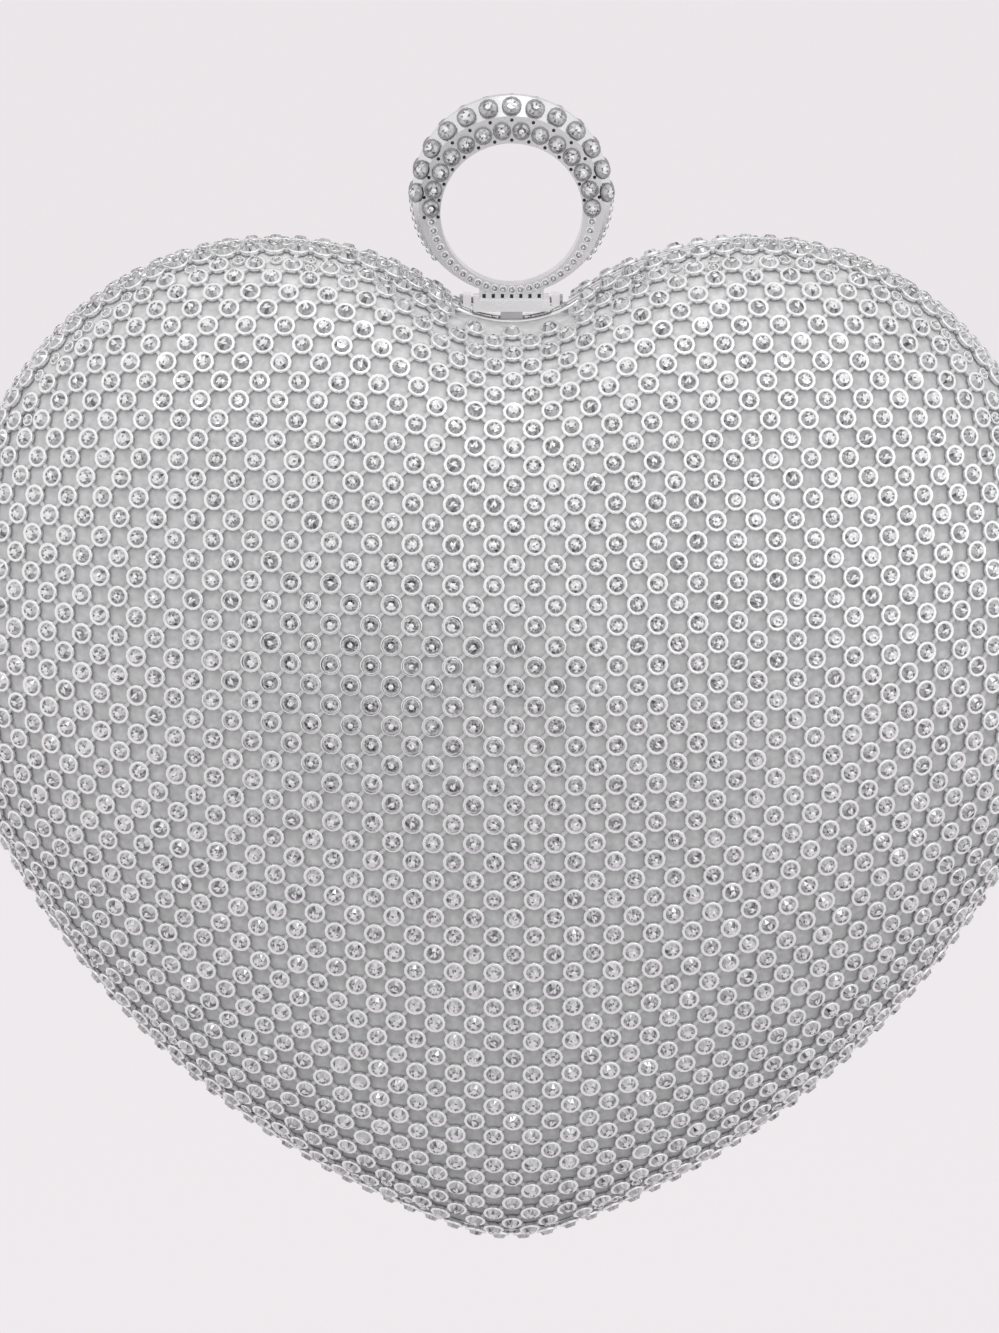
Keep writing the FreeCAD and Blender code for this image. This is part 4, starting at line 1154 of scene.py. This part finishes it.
class PURSE_OT_studio(bpy.types.Operator):
    """Set the camera, the soft lights and the pale ground"""
    bl_idname = "purse.studio"
    bl_label = "Studio"

    def execute(self, context):
        studio = settings().studio
        scene = context.scene
        scene.view_settings.view_transform = "Standard"
        aim = Vector((studio.aim_x, 0, studio.aim_z))
        level = math.cos(studio.elevation)
        back = Vector((math.sin(studio.azimuth) * level, -math.cos(studio.azimuth) * level, math.sin(studio.elevation)))
        lens = bpy.data.cameras.new("camera")
        camera = scene_object("camera", lens)
        camera.location = aim + back * studio.distance
        camera.rotation_euler = (-back).to_track_quat("-Z", "Y").to_euler()
        lens.sensor_width = SENSOR_WIDTH
        lens.lens = studio.pixels_per_mm * studio.distance / MM * lens.sensor_width / PICTURE_HEIGHT
        scene.camera = camera
        low = CAD_BOX[0].z - studio.floor_drop
        self.ground(studio, low)
        self.lights(scene, aim)
        self.cards(low)
        return {"FINISHED"}

    def ground(self, studio, low):
        """Floor that bends up into the backdrop."""
        profile = [(-SWEEP_HALF, low)]
        for k in range(SWEEP_STEPS + 1):
            angle = QUARTER * k / SWEEP_STEPS
            profile.append((SWEEP_BACK + SWEEP_BEND * math.sin(angle), low + SWEEP_BEND * (1 - math.cos(angle))))
        profile.append((SWEEP_BACK + SWEEP_BEND, low + SWEEP_HEIGHT))
        vertices = [(x, y, z) for y, z in profile for x in (-SWEEP_HALF, SWEEP_HALF)]
        faces = [(2 * k, 2 * k + 1, 2 * k + 3, 2 * k + 2) for k in range(len(profile) - 1)]
        ground = scene_object("pale_ground", new_mesh("pale_ground", vertices, faces, True))
        ground.data.materials.append(self.pale_material(studio))

    def pale_material(self, studio):
        """Matt ground that glows a little for what sees or reflects it, so that it stays even."""
        material, tree, shader = new_material("pale_ground")
        tree.feed(shader, {"Base Color": (*studio.pale, 1), "Roughness": MATT})
        glow = tree.add("ShaderNodeEmission", {"Color": (*studio.pale, 1)}).outputs["Emission"]
        ray = tree.add("ShaderNodeLightPath").outputs
        seen = tree.calculate("MAXIMUM", ray["Is Camera Ray"], ray["Is Glossy Ray"])
        either = tree.calculate("MAXIMUM", seen, ray["Is Transmission Ray"])
        mix = tree.add("ShaderNodeMixShader", {"Fac": tree.calculate("MULTIPLY", either, SWEEP_GLOW),
                                               1: shader.outputs["BSDF"], 2: glow})
        tree.feed(material.node_tree.nodes["Material Output"], {"Surface": mix.outputs["Shader"]})
        return material

    def lights(self, scene, aim):
        """Even white room and soft lamps."""
        scene.world = bpy.data.worlds.new("soft_room")
        scene.world.use_nodes = True
        room = scene.world.node_tree.nodes["Background"]
        Tree(scene.world.node_tree).feed(room, {"Color": (1, 1, 1, 1), "Strength": WORLD_STRENGTH})
        for name, (place, size, power, reflected) in LAMPS.items():
            lamp = bpy.data.lights.new(name, "AREA")
            lamp.shape = "DISK"
            lamp.size = size
            lamp.energy = power
            holder = scene_object(name, lamp)
            holder.location = aim + Vector(place)
            holder.rotation_euler = (-Vector(place)).to_track_quat("-Z", "Y").to_euler()
            holder.visible_glossy = reflected

    def cards(self, low):
        """Cards out of the camera's sight: dark and rear ones for reflections, a grey one that dims the floor."""
        front = [(-0.225, -0.04), (-0.03, -0.04), (-0.03, -0.19), (0.02, -0.19), (0.02, -0.245), (-0.225, -0.245)]
        under = [(-0.4, -0.75), (0.4, -0.75), (0.4, 0.2), (-0.4, 0.2)]
        rear = [(-0.7, 0.3), (0.7, 0.3), (0.7, 1.0), (-0.7, 1.0)]
        for name, corners, grey, diffuse in (
                ("dark_flag", [(x, FRONT_CARD_Y, z) for x, z in front], 0.03, False),
                ("grey_flag", [(x, y, low + GREY_CARD_LIFT) for x, y in under], 0.26, True),
                ("rear_flag", [(x, REAR_CARD_Y, z) for x, z in rear], 0.25, False)):
            card = scene_object(name, new_mesh(name, corners, [tuple(range(len(corners)))]))
            material, tree, shader = new_material(name)
            tree.feed(shader, {"Base Color": (grey, grey, grey, 1), "Roughness": MATT})
            card.data.materials.append(material)
            card.visible_camera = False
            card.visible_diffuse = diffuse
            card.visible_glossy = not diffuse
            card.visible_shadow = False


class PURSE_PT_sidebar(bpy.types.Panel):
    """Steps and sizes of the heart purse"""
    bl_idname = "PURSE_PT_sidebar"
    bl_label = "Heart purse"
    bl_space_type = "VIEW_3D"
    bl_region_type = "UI"
    bl_category = "Heart purse"

    def draw(self, context):
        for step in STEPS:
            self.layout.operator(step.bl_idname)
        purse = context.scene.heart_purse
        for group in (purse.outline, purse.crystals, purse.ring, purse.lining, purse.finishes, purse.studio):
            box = self.layout.box()
            for key in group.bl_rna.properties.keys():
                if key not in ("rna_type", "name"):
                    box.prop(group, key, text=key.replace("_", " ").capitalize())


GROUPS = (OutlineSizes, CrystalSizes, RingSizes, LiningSizes, Finishes, StudioSizes, PurseSettings)
STEPS = (PURSE_OT_shells, PURSE_OT_crystal_covers, PURSE_OT_edge_stones, PURSE_OT_frames, PURSE_OT_ring_stones,
         PURSE_OT_linings, PURSE_OT_braids, PURSE_OT_studio)
CLASSES = (*GROUPS, *STEPS, PURSE_PT_sidebar)


def register():
    for item in CLASSES:
        bpy.utils.register_class(item)
    bpy.types.Scene.heart_purse = PointerProperty(type=PurseSettings)


def unregister():
    del bpy.types.Scene.heart_purse
    for item in reversed(CLASSES):
        bpy.utils.unregister_class(item)


def main():
    register()
    bpy.ops.purse.shells()
    bpy.ops.purse.crystal_covers()
    bpy.ops.purse.edge_stones()
    bpy.ops.purse.frames()
    bpy.ops.purse.ring_stones()
    bpy.ops.purse.linings()
    bpy.ops.purse.braids()
    bpy.ops.purse.studio()


if __name__ == "__main__":
    main()
